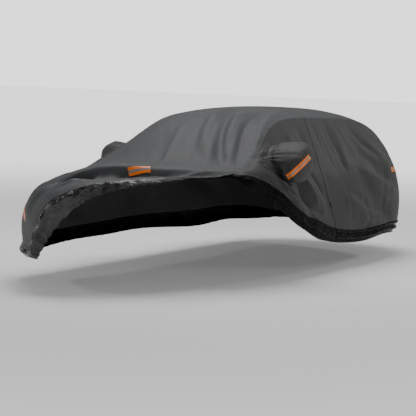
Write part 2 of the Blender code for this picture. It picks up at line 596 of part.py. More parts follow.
def step_in(places, axis, end, gap):
    """Move one edge of a grid inwards, along the grid's own lines."""
    lines = np.moveaxis(places, axis, 0)
    edge, inner = (0, 1) if end == 0 else (-1, -2)
    lines[edge] += np.reshape(gap, (-1, 1)) * unit(lines[inner] - lines[edge])


def seam_gaps(edge, inner, other_inner, out):
    """How far each of two cloths steps back from their seam, along its own grid lines.

    The gap is wider where the thick cloths fold towards each other.
    """
    along = unit(np.gradient(edge, axis=0))
    aims = [unit(inner - edge), unit(other_inner - edge)]
    aims = [aim - along * np.sum(aim * along, axis=-1, keepdims=True) for aim in aims]
    fold = np.sum((unit(aims[0]) + unit(aims[1])) * out, axis=-1) / 2
    fold = np.clip(fold * FOLD_MARGIN, 0, 0.9)
    half = SEAM_GAP / 2 + CLOTH * fold / np.sqrt(1 - fold ** 2)
    return [half / np.maximum(np.linalg.norm(aim, axis=-1), 0.4) for aim in aims]


# ---------------------------------------------------------------- Blender helpers
def clear_scene():
    for thing in list(bpy.data.objects):
        bpy.data.objects.remove(thing, do_unlink=True)


def make_collection(name):
    collection = bpy.data.collections.new(name)
    bpy.context.scene.collection.children.link(collection)
    return collection


def make_material(name):
    red, green, blue, roughness = FINISHES[name]
    material = bpy.data.materials.new(name)
    material.use_nodes = True
    shader = material.node_tree.nodes["Principled BSDF"]
    shader.inputs["Base Color"].default_value = (red, green, blue, 1.0)
    shader.inputs["Roughness"].default_value = roughness
    shader.inputs["Metallic"].default_value = 0.0
    return material


def add_object(name, maker, collection, material):
    mesh = bpy.data.meshes.new(name)
    maker.to_mesh(mesh)
    maker.free()
    mesh.shade_smooth()
    mesh.materials.append(material)
    thing = bpy.data.objects.new(name, mesh)
    collection.objects.link(thing)
    return thing


def add_thickness(thing, thickness, offset=1.0):
    solidify = thing.modifiers.new("thickness", "SOLIDIFY")
    solidify.thickness = thickness
    solidify.offset = offset


def add_sheet(name, places, outward, collection, material):
    """A flat grid laid on its places, (columns, rows, 3), with its faces outwards."""
    columns, rows = places.shape[:2]
    maker = bmesh.new()
    bmesh.ops.create_grid(maker, x_segments=columns - 1, y_segments=rows - 1, size=0.5)
    index = {}
    for vert in maker.verts:
        index[vert] = (round((vert.co.x + 0.5) * (columns - 1)),
                       round((vert.co.y + 0.5) * (rows - 1)))
        vert.co = places[index[vert]]
    maker.normal_update()
    if sum(vert.normal.dot(outward[at]) for vert, at in index.items()) < 0:
        bmesh.ops.reverse_faces(maker, faces=maker.faces)
    return add_object(name, maker, collection, material)


def add_cloth(name, places, outward, collection, material, thickness=CLOTH):
    thing = add_sheet(name, places, outward, collection, material)
    add_thickness(thing, thickness)
    return thing


# ---------------------------------------------------------------- panels
def lay_panels():
    """The centre, right and left grids on the folded cloth, parted along their seams."""
    centre, centre_out = cloth("centre", *centre_grid())
    right, right_out = cloth("right", *right_grid())
    left, left_out = cloth("left", *left_grid())

    inner = np.concatenate([right[1, :0:-1], right[:, 1], right[-2, 1:]])
    gaps, side_gaps = seam_gaps(centre[:, 0], centre[:, 1], inner, centre_out[:, 0])
    step_in(centre, 1, 0, gaps)
    step_in(right, 1, 0, side_gaps[SIDE_ROWS:-SIDE_ROWS])
    step_in(right, 0, 0, side_gaps[SIDE_ROWS::-1])
    step_in(right, 0, 1, side_gaps[-SIDE_ROWS - 1:])

    inner = np.concatenate([left[:, 1], left[-2, 1:]])
    gaps, side_gaps = seam_gaps(centre[:, -1], centre[:, -2], inner, centre_out[:, -1])
    step_in(centre, 1, 1, gaps)
    step_in(left, 1, 0, side_gaps[:-SIDE_ROWS])
    step_in(left, 0, 1, side_gaps[-SIDE_ROWS - 1:])
    return (centre, centre_out), (right, right_out), (left, left_out)


def make_left_panels(places, out, collection, material):
    """The two left panels, parted at the zip by the width of its tapes and chain."""
    zip_column = SIDE_ROWS + FRONT_COLUMNS
    front = places[:zip_column + 1].copy()
    rear = places[zip_column:].copy()
    zip_half = ZIP_CHAIN_WIDTH / 2 + ZIP_TAPE_WIDTH + 2 * SEAM_GAP
    step_in(front, 0, 1, zip_half)
    step_in(rear, 0, 0, zip_half)
    front_panel = add_cloth("left_front_panel", front, out[:zip_column + 1], collection,
                            material)
    add_cloth("left_rear_panel", rear, out[zip_column:], collection, material)
    return front_panel, front, rear


# ---------------------------------------------------------------- zip
def zip_strip(edge, inner, near, far):
    """A strip beside the zip's line, between two distances from it."""
    aim = unit(inner - edge)
    return np.stack([edge + near * aim, edge + far * aim])


def make_zip(front, rear, out, collection, material):
    """Two tapes and the chain, closed, from the roof seam down to the hem band."""
    half = ZIP_CHAIN_WIDTH / 2
    reach = half + 2 * SEAM_GAP + ZIP_TAPE_WIDTH
    line = (front[-1] + rear[0]) / 2
    for name, panel_edge in (("zip_tape_front", front[-1]), ("zip_tape_rear", rear[0])):
        tape = zip_strip(line, panel_edge, half + SEAM_GAP, reach - SEAM_GAP)
        add_cloth(name, tape, np.stack([out, out]), collection, material, TAPE)
    chain = np.stack([zip_strip(line, front[-1], 0, half)[1],
                      zip_strip(line, rear[0], 0, half)[1]])
    add_cloth("zip_chain", chain, np.stack([out, out]), collection, material,
              ZIP_CHAIN_THICK)
    make_slider(line, out, chain, collection, material)


def block(name, centre, axes, size, collection, material):
    """A small bevelled block with its own axes."""
    maker = bmesh.new()
    bmesh.ops.create_cube(maker, size=1)
    turn = Matrix([Vector(axis) for axis in axes]).transposed()
    for vert in maker.verts:
        vert.co = turn @ (vert.co * Vector(size)) + Vector(centre)
    thing = add_object(name, maker, collection, material)
    bevel = thing.modifiers.new("edges", "BEVEL")
    bevel.width = min(size) * 0.3
    bevel.segments = 1


def make_slider(line, out, chain, collection, material):
    """The slider on the chain and the pull that hangs from it."""
    along = unit(line[SLIDER_DROP + 1] - line[SLIDER_DROP])
    face_out = unit(np.cross(along, chain[1][SLIDER_DROP] - chain[0][SLIDER_DROP]))
    face_out *= np.sign(face_out @ out[SLIDER_DROP])
    axes = (np.cross(along, face_out), along, face_out)
    seat = (line[SLIDER_DROP] + line[SLIDER_DROP + 1]) / 2
    lift = ZIP_CHAIN_THICK + 2 * PULL_GAP + SLIDER_SIZE[2] / 2
    slider = seat + face_out * lift
    block("zip_slider", slider, axes, SLIDER_SIZE, collection, material)
    drop = (SLIDER_SIZE[1] + PULL_SIZE[1]) / 2 + PULL_GAP
    block("zip_pull", slider + along * drop, axes, PULL_SIZE, collection, material)


# ---------------------------------------------------------------- hem bands
def split_line(points, parts):
    """Put more places on a line without changing its straight stretches."""
    steps = np.arange(0, len(points) - 1 + 0.5 / parts, 1 / parts)
    index = np.arange(len(points))
    return np.stack([np.interp(steps, index, points[:, axis]) for axis in range(3)], 1)


def split_values(values, parts):
    steps = np.arange(0, len(values) - 1 + 0.5 / parts, 1 / parts)
    return np.interp(steps, np.arange(len(values)), values)


def add_band(name, top, hem, out, bulge, collection, material):
    """A gathered band from the panel's edge (top) to its hem, with the elastic's waves."""
    along = np.concatenate([[0], np.cumsum(np.linalg.norm(np.diff(hem, axis=0), axis=1))])
    ends = np.minimum(along, along[-1] - along) / GATHER_PITCH
    wave = GATHER_HEIGHT * ease(ends) * np.sin(2 * math.pi * along / GATHER_PITCH)
    top = top + BAND_GAP * unit(hem - top)
    bulge = np.minimum(bulge, BULGE_SHARE * np.linalg.norm(hem - top, axis=1))
    rows = []
    for share in np.linspace(0, 1, BAND_ROWS + 1):
        lift = bulge * math.sin(math.pi * share) + wave * share
        rows.append(top + (hem - top) * share + out * lift[:, None])
    places = np.stack(rows, 1)
    step_in(places[:, 1:], 0, 0, SEAM_GAP / 2)
    step_in(places[:, 1:], 0, 1, SEAM_GAP / 2)
    outward = np.repeat(out[:, None], BAND_ROWS + 1, axis=1)
    return add_cloth(name, places, outward, collection, material)


def band_hem(panel, run, side, offset):
    """The hem's places, set out from the form by an offset (inwards where negative)."""
    place, out = base(panel, run, side)
    return place + out * offset[:, None]


def front_band(centre, centre_out, front, rear, left_out, collection, material):
    """The turned-back band: along the lifted edge and down the left side to the zip."""
    across = split_values(across_steps(), BAND_SPLIT)
    lift = HEM_LIFT * ease((across + 1) / CORNER_FADE)
    hem_a = band_hem("centre", front_hem_run(across), front_hem_across(across), lift)
    runs, drops = left_grid()
    zip_column = SIDE_ROWS + FRONT_COLUMNS
    low_runs = split_values(runs[:zip_column + 1, -1], BAND_SPLIT)
    hem_b = band_hem("left", left_hem_run(low_runs), left_hem_drop(low_runs),
                     left_hem_offset(low_runs))
    low_edge = front[:, -1].copy()
    low_edge[-1] = (front[-1, -1] + rear[0, -1]) / 2
    low_edge[-1] += unit(front[-1, -1] - low_edge[-1]) * SEAM_GAP / 2
    top = np.concatenate([split_line(centre[0], BAND_SPLIT), split_line(low_edge, BAND_SPLIT)])
    out = np.concatenate([split_line(centre_out[0], BAND_SPLIT),
                          split_line(left_out[:zip_column + 1, -1], BAND_SPLIT)])
    ends = np.minimum(np.arange(len(top)), np.arange(len(top))[::-1]) / (2 * BAND_SPLIT)
    bulge = LOW_BULGE + (FRONT_BULGE - LOW_BULGE) * ease(ends / 2)
    return add_band("hem_band_front", top, np.concatenate([hem_a, hem_b]), unit(out), bulge,
                    collection, material)


def left_hem_offset(run):
    """Turned out ahead of the zip, drawn in behind it."""
    return HEM_LIFT - (HEM_LIFT + HEM_TUCK) * ease((run - TUCK_FROM) / TUCK_OVER)


def left_band(front, rear, left_out, collection, material):
    runs, drops = left_grid()
    zip_column = SIDE_ROWS + FRONT_COLUMNS
    low_runs = split_values(runs[zip_column:, -1], BAND_SPLIT)
    hem = band_hem("left", left_hem_run(low_runs), left_hem_drop(low_runs),
                   left_hem_offset(low_runs))
    low_edge = rear[:, -1].copy()
    low_edge[0] = (front[-1, -1] + rear[0, -1]) / 2
    low_edge[0] += unit(rear[0, -1] - low_edge[0]) * SEAM_GAP / 2
    out = unit(split_line(left_out[zip_column:, -1], BAND_SPLIT))
    return add_band("hem_band_left", split_line(low_edge, BAND_SPLIT), hem, out,
                    np.full(len(hem), LOW_BULGE), collection, material)


def tail_band(centre, centre_out, collection, material):
    across = split_values(across_steps(), BAND_SPLIT)
    hem = band_hem("centre", np.full(len(across), RUN_END), across,
                   np.full(len(across), -HEM_TUCK))
    out = unit(split_line(centre_out[-1], BAND_SPLIT))
    return add_band("hem_band_tail", split_line(centre[-1], BAND_SPLIT), hem, out,
                    np.full(len(hem), LOW_BULGE), collection, material)


def right_band(right, right_out, collection, material):
    runs = split_values(right_grid()[0][:, -1], BAND_SPLIT)
    tuck = -HEM_TUCK * ease((runs - NOSE_CORNER) / TUCK_OVER)
    hem = band_hem("right", runs, np.ones(len(runs)), tuck)
    out = unit(split_line(right_out[:, -1], BAND_SPLIT))
    return add_band("hem_band_right", split_line(right[:, -1], BAND_SPLIT), hem, out,
                    np.full(len(hem), LOW_BULGE), collection, material)


# ---------------------------------------------------------------- mirror pockets
BAG_ROWS = row_values(BAG, BAG_COLUMNS, *BAG_COLUMNS)
BAG_CURVES = [edge_curve(BAG_ROWS[0], column) for column in BAG_ROWS[1:]]


def pocket_named(name):
    row = next(row for row in POCKETS if row[0] == name)
    return dict(zip(POCKET_COLUMNS, row))


def mouth(pocket, angle):
    """Places on the edge of a pocket's mouth, and its middle."""
    panel = "left" if pocket["side"] > 0 else "right"
    back = np.sign(np.cos(angle)) * np.abs(np.cos(angle)) ** (2 / MOUTH_SQUARE)
    up = np.sign(np.sin(angle)) * np.abs(np.sin(angle)) ** (2 / MOUTH_SQUARE)
    rim = cloth(panel, pocket["run"] + pocket["half_run"] * back,
                pocket["drop"] - pocket["half_drop"] * up)[0]
    middle = cloth(panel, np.array(pocket["run"]), np.array(pocket["drop"]))[0]
    return rim, middle


def bag(pocket, angle, share):
    """A place on a pocket, by the angle round it and the share from root to tip."""
    rim, middle = mouth(pocket, angle)
    out, wide, tall = (curve(share) for curve in BAG_CURVES)
    spread = rim - middle
    fit = 1 - POCKET_GAP / np.linalg.norm(spread[..., 1:], axis=-1)
    x = middle[0] + spread[..., 0] * (1 - ease(share)) + pocket["side"] * pocket["depth"] * out
    y = middle[1] + spread[..., 1] * wide * fit + pocket["back"] * out
    z = middle[2] + spread[..., 2] * tall * fit
    return np.stack([x, y, z], -1)


def step_angle(vert):
    """The vertex's angle about Z, on one of the pocket's segments."""
    step = 2 * math.pi / POCKET_SEGMENTS
    return round(math.atan2(vert.co.y, vert.co.x) / step) * step


def cut_mouth(panel, pocket, cutters, material):
    """Cut a pocket's mouth through its panel, straight out along X."""
    maker = bmesh.new()
    bmesh.ops.create_cone(maker, cap_ends=True, segments=POCKET_SEGMENTS, radius1=1,
                          radius2=1, depth=2)
    for vert in maker.verts:
        rim, middle = mouth(pocket, step_angle(vert))
        vert.co = rim + np.array([math.copysign(CUTTER_REACH, vert.co.z), 0, 0])
    bmesh.ops.recalc_face_normals(maker, faces=maker.faces)
    cutter = add_object(pocket["name"] + "_cutter", maker, cutters, material)
    cutter.hide_render = True
    cutter.display_type = "WIRE"
    cut = panel.modifiers.new("mouth", "BOOLEAN")
    cut.operation = "DIFFERENCE"
    cut.solver = "EXACT"
    cut.object = cutter


def make_pocket(pocket, collection, material):
    """A bag from the upper half of a sphere, drawn out of its mouth."""
    maker = bmesh.new()
    bmesh.ops.create_uvsphere(maker, u_segments=POCKET_SEGMENTS, v_segments=2 * POCKET_RINGS,
                              radius=1)
    lower = [vert for vert in maker.verts if vert.co.z < -1e-4]
    bmesh.ops.delete(maker, geom=lower, context="VERTS")
    for vert in maker.verts:
        share = math.asin(min(1, max(0, vert.co.z))) / (math.pi / 2)
        vert.co = bag(pocket, np.array(step_angle(vert)), np.array(share))
    maker.normal_update()
    tip = max(maker.verts, key=lambda vert: vert.co.x * pocket["side"])
    if tip.normal.x * pocket["side"] < 0:
        bmesh.ops.reverse_faces(maker, faces=maker.faces)
    thing = add_object(pocket["name"], maker, collection, material)
    add_thickness(thing, CLOTH, -1.0)


# ---------------------------------------------------------------- strips
def add_strip(strip, middle_line, out, cells, collection, material):
    """A bright strip let down onto the cloth that carries it."""
    along = unit(np.gradient(middle_line, axis=0))
    sideways = unit(np.cross(out, along))
    shares = np.linspace(-0.5, 0.5, cells + 1)
    places = (middle_line[:, None] + sideways[:, None] * shares[None, :, None] * STRIP_WIDTH
              + out[:, None] * STRIP_START)
    outward = np.repeat(out[:, None], len(shares), axis=1)
    thing = add_sheet(strip["name"], places, outward, collection, material)
    wrap = thing.modifiers.new("on_cloth", "SHRINKWRAP")
    wrap.target = bpy.data.objects[strip["on"]]
    wrap.wrap_method = "PROJECT"
    wrap.wrap_mode = "ABOVE_SURFACE"
    wrap.use_negative_direction = True
    wrap.use_positive_direction = False
    wrap.offset = strip["clear"]
    add_thickness(thing, TAPE)


def make_strips(collection, material):
    steps = np.linspace(0, 1, STRIP_CELLS[0] + 1)
    for row in STRIPS:
        strip = dict(zip(STRIP_COLUMNS, row))
        run = strip["run_0"] + (strip["run_1"] - strip["run_0"]) * steps
        side = strip["side_0"] + (strip["side_1"] - strip["side_0"]) * steps
        line, out = cloth(strip["panel"], run, side)
        add_strip(strip, line, out, STRIP_CELLS[1], collection, material)
    steps = np.linspace(0, 1, POCKET_STRIP_CELLS[0] + 1)[:, None]
    for row in POCKET_STRIPS:
        strip = dict(zip(POCKET_STRIP_COLUMNS, row))
        first, last, facing = (np.array(strip[key]) for key in POCKET_STRIP_COLUMNS[3:])
        facing = unit(facing)
        line = first + (last - first) * steps - HANG_POINT + facing * POCKET_STRIP_START
        add_strip(strip, line, np.broadcast_to(facing, line.shape), POCKET_STRIP_CELLS[1],
                  collection, material)


# ---------------------------------------------------------------- the cover
def main():
    clear_scene()
    parts = make_collection("car_cover")
    cutters = make_collection("cutters")
    finish = {name: make_material(name) for name in FINISHES}

    (centre, centre_out), (right, right_out), (left, left_out) = lay_panels()
    add_cloth("centre_panel", centre, centre_out, parts, finish["panel_cloth"])
    right_panel = add_cloth("right_panel", right, right_out, parts, finish["side_cloth"])
    left_panel, front, rear = make_left_panels(left, left_out, parts, finish["side_cloth"])
    zip_column = SIDE_ROWS + FRONT_COLUMNS
    make_zip(front, rear, left_out[zip_column], parts, finish["zip_black"])

    for panel, row in ((left_panel, POCKETS[0]), (right_panel, POCKETS[1])):
        pocket = dict(zip(POCKET_COLUMNS, row))
        cut_mouth(panel, pocket, cutters, finish["side_cloth"])
        make_pocket(pocket, parts, finish["side_cloth"])

    front_band(centre, centre_out, front, rear, left_out, parts, finish["band_cloth"])
    left_band(front, rear, left_out, parts, finish["band_cloth"])
    tail_band(centre, centre_out, parts, finish["band_cloth"])
    right_band(right, right_out, parts, finish["band_cloth"])
    make_strips(parts, finish["strip_tape"])


main()
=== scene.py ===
"""Fitted cloth cover for a compact car, dressed over its frame of plain solids.

Units are metres.  +Z is up, the nose of the cover looks along -Y and its left side along +X.
The tables measure Y from the middle of the wheelbase and Z from the ground.  The pieces are
placed from HANG_POINT, under the middle of the roof, as the frame's solids are.

The panels follow the same tables as the solids, with many more cells, sharper creases, sewn
seams and wrinkles.  Each cloth is a grid laid on its form and then given its thickness.
"""

import json
import math
from functools import lru_cache

import bmesh
import bpy
import numpy as np
from bpy.props import FloatProperty, FloatVectorProperty, PointerProperty
from mathutils import Matrix, Vector, noise

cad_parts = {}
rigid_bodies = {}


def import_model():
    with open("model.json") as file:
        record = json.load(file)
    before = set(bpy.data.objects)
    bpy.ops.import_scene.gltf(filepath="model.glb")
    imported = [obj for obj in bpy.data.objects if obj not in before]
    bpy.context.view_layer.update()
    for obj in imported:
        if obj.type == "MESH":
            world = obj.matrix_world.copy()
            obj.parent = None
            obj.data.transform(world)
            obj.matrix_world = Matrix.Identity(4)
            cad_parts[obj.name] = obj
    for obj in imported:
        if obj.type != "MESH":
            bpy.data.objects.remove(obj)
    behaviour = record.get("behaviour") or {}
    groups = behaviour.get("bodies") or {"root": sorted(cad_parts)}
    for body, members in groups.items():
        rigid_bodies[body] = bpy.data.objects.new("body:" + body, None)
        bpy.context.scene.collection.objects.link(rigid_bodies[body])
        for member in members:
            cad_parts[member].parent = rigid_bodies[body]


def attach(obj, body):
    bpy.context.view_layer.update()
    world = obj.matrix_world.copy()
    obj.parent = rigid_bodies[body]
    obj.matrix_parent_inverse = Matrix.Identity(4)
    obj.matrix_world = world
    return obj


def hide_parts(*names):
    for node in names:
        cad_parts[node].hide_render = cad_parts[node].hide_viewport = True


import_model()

bl_info = {
    "name": "Car Cover",
    "version": (1, 0, 0),
    "blender": (4, 5, 0),
    "location": "3D View > Sidebar > Cover",
    "description": "Makes a fitted cloth car cover with mirror pockets, a side zip and a hem band",
    "category": "Add Mesh",
}
BODY = "root"

# ---------------------------------------------------------------- driving sizes
HANG_POINT = (0.0, 0.300, 1.447)     # under the middle of the roof
CLOTH = 0.0020                       # thickness of a panel, band or pocket
TAPE = 0.0012                        # thickness of the strips and the zip's tapes
SEAM_GAP = 0.0008                    # between two cloths that meet
SEWN_GAP = 0.0001                    # between two panels along their seam
POCKET_GAP = 0.0014                  # between a pocket and the mouth it is sewn into
BAND_GAP = 0.0008                    # between a panel and its hem band

SIDE_CELLS = 46                      # cells from the seam down to the hem band
ACROSS_CELLS = 84                    # cells across the centre panel
ACROSS_POWER = 1.3                   # above 1 draws them together towards the left
FRONT_CELLS = 130                    # cells from the nose's corner to the zip
REAR_CELLS = 110                     # cells from the zip to the tail's corner
BAND_ROWS = 16                       # cells across the hem band
BAND_SPLIT = 3                       # band columns for each column of the panel above it

# ---------------------------------------------------------------- the form
# One row a section, nose to tail: the Y and Z of its middle, then the X, Y and Z of its
# left seam.
SECTIONS = (
    ("nose_low", -2.150, 0.215, 0.600, -2.040, 0.215),
    ("nose_mid", -2.262, 0.450, 0.620, -2.120, 0.450),
    ("nose_top", -2.225, 0.720, 0.600, -2.060, 0.705),
    ("bonnet_front", -2.030, 0.840, 0.650, -1.890, 0.790),
    ("bonnet", -1.600, 0.940, 0.720, -1.480, 0.883),
    ("screen_foot", -1.150, 1.015, 0.765, -0.950, 0.955),
    ("screen", -0.740, 1.215, 0.685, -0.570, 1.140),
    ("screen_top", -0.300, 1.382, 0.600, -0.210, 1.325),
    ("roof", 0.300, 1.447, 0.585, 0.330, 1.375),
    ("roof_rear", 1.050, 1.430, 0.590, 1.040, 1.345),
    ("roof_end", 1.680, 1.335, 0.600, 1.610, 1.250),
    ("tail_slope", 2.020, 1.120, 0.640, 1.880, 1.050),
    ("tail_top", 2.140, 0.830, 0.660, 2.010, 0.800),
    ("tail_mid", 2.165, 0.500, 0.670, 2.030, 0.490),
    ("tail_low", 2.100, 0.240, 0.640, 1.980, 0.240),
)
# The left side below the seam, at the same sections: the X, Y and Z of its belt, its waist
# and its hem.
SIDES = (
    ("bonnet_front", 0.775, -1.920, 0.665, 0.862, -1.890, 0.480, 0.835, -1.860, 0.195),
    ("bonnet", 0.865, -1.480, 0.765, 0.940, -1.450, 0.580, 0.925, -1.450, 0.240),
    ("screen_foot", 0.890, -1.020, 0.860, 0.955, -1.000, 0.620, 0.945, -1.000, 0.260),
    ("screen", 0.880, -0.640, 0.930, 0.957, -0.600, 0.660, 0.950, -0.600, 0.260),
    ("screen_top", 0.870, -0.220, 0.960, 0.960, -0.200, 0.680, 0.952, -0.200, 0.270),
    ("roof", 0.870, 0.330, 0.980, 0.962, 0.330, 0.700, 0.955, 0.330, 0.250),
    ("roof_rear", 0.865, 1.030, 0.995, 0.955, 1.010, 0.720, 0.950, 1.000, 0.215),
    ("roof_end", 0.830, 1.560, 0.980, 0.925, 1.520, 0.700, 0.925, 1.480, 0.240),
    ("tail_slope", 0.765, 1.860, 0.860, 0.850, 1.830, 0.620, 0.840, 1.800, 0.225),
)
RING_AT = (0.0, 0.40, 0.66, 1.0)     # seam, belt, waist and hem, as a share of the drop
SETBACK_POWER = 2.2                  # how the nose and tail round off towards the seam
CROWN_POWER = 2.4                    # how the roof and bonnet fall towards the seam
CORNER_REACH = 0.12                  # share of a side that follows the nose or tail seam
SEAM_BLEND = 0.12                    # distance over which two panels turn into each other
SIDE_DEPTH = 0.75                    # a side from its seam to its hem, about

# ---------------------------------------------------------------- edges on the form
# "run" is the length along the middle of the centre panel from the nose hem, "across" is
# -1 at its right seam and 1 at its left seam, "drop" is 0 at the seam and 1 at the hem.
FRONT_EDGE_COLUMNS = ("across", "panel_run", "hem_across", "hem_run", "rise", "reach")
FRONT_EDGE = (
    (-1.00, 0.100, -1.000, 0.000, 0.000, 0.20),
    (-0.93, 0.125, -0.940, 0.000, 0.010, 0.22),
    (-0.80, 0.210, -0.730, 0.095, 0.030, 0.28),
    (-0.60, 0.350, -0.430, 0.265, 0.075, 0.34),
    (-0.40, 0.490, -0.240, 0.382, 0.088, 0.36),
    (-0.20, 0.580, -0.100, 0.458, 0.070, 0.36),
    (0.00, 0.665, 0.090, 0.576, 0.072, 0.36),
    (0.20, 0.800, 0.290, 0.718, 0.044, 0.34),
    (0.40, 0.950, 0.480, 0.860, 0.028, 0.32),
    (0.60, 1.100, 0.680, 1.020, 0.020, 0.30),
    (0.80, 1.310, 0.860, 1.275, 0.016, 0.26),
    (0.95, 1.460, 0.965, 1.433, 0.014, 0.24),
    (1.00, 1.520, 1.000, 1.490, 0.016, 0.24),
)
LEFT_EDGE_COLUMNS = ("run", "panel_drop", "hem_run", "hem_drop", "rise", "reach")
LEFT_EDGE = (
    (1.520, 0.060, 1.493, 0.060, 0.016, 0.24),
    (1.560, 0.150, 1.510, 0.130, 0.020, 0.24),
    (1.680, 0.310, 1.560, 0.350, 0.030, 0.22),
    (1.900, 0.450, 1.817, 0.548, 0.040, 0.17),
    (2.080, 0.545, 2.000, 0.662, 0.045, 0.15),
    (2.350, 0.680, 2.290, 0.795, 0.045, 0.14),
    (2.580, 0.770, 2.545, 0.878, 0.030, 0.14),
    (2.820, 0.825, 2.810, 0.951, 0.018, 0.14),
    (3.050, 0.880, 3.050, 0.980, 0.012, 0.14),
    (3.330, 0.908, 3.330, 0.997, 0.010, 0.14),
    (3.700, 0.920, 3.700, 1.000, 0.008, 0.14),
    (4.600, 0.915, 4.600, 1.000, 0.006, 0.14),
    (5.293, 0.870, 5.293, 1.000, 0.000, 0.14),
)
RIGHT_EDGE_COLUMNS = ("run", "panel_drop")
RIGHT_EDGE = ((0.533, 0.812), (0.900, 0.860), (1.500, 0.890), (4.600, 0.900), (5.293, 0.870))
EDGE_PLACES = (41, 31)               # read along the front's and the left side's edge
EDGE_END = 3.4                       # the run where the edge's soft roll ends
TAIL_DROP = 0.870                    # where the tail's panel ends, as on the sides
ZIP_COLUMNS = ("drop", "run")
ZIP_LINE = ((0.00, 3.223), (0.17, 3.112), (0.33, 3.032), (0.47, 2.990), (0.62, 2.995),
            (0.73, 3.053), (0.80, 3.112), (0.86, 3.150), (1.00, 3.190))

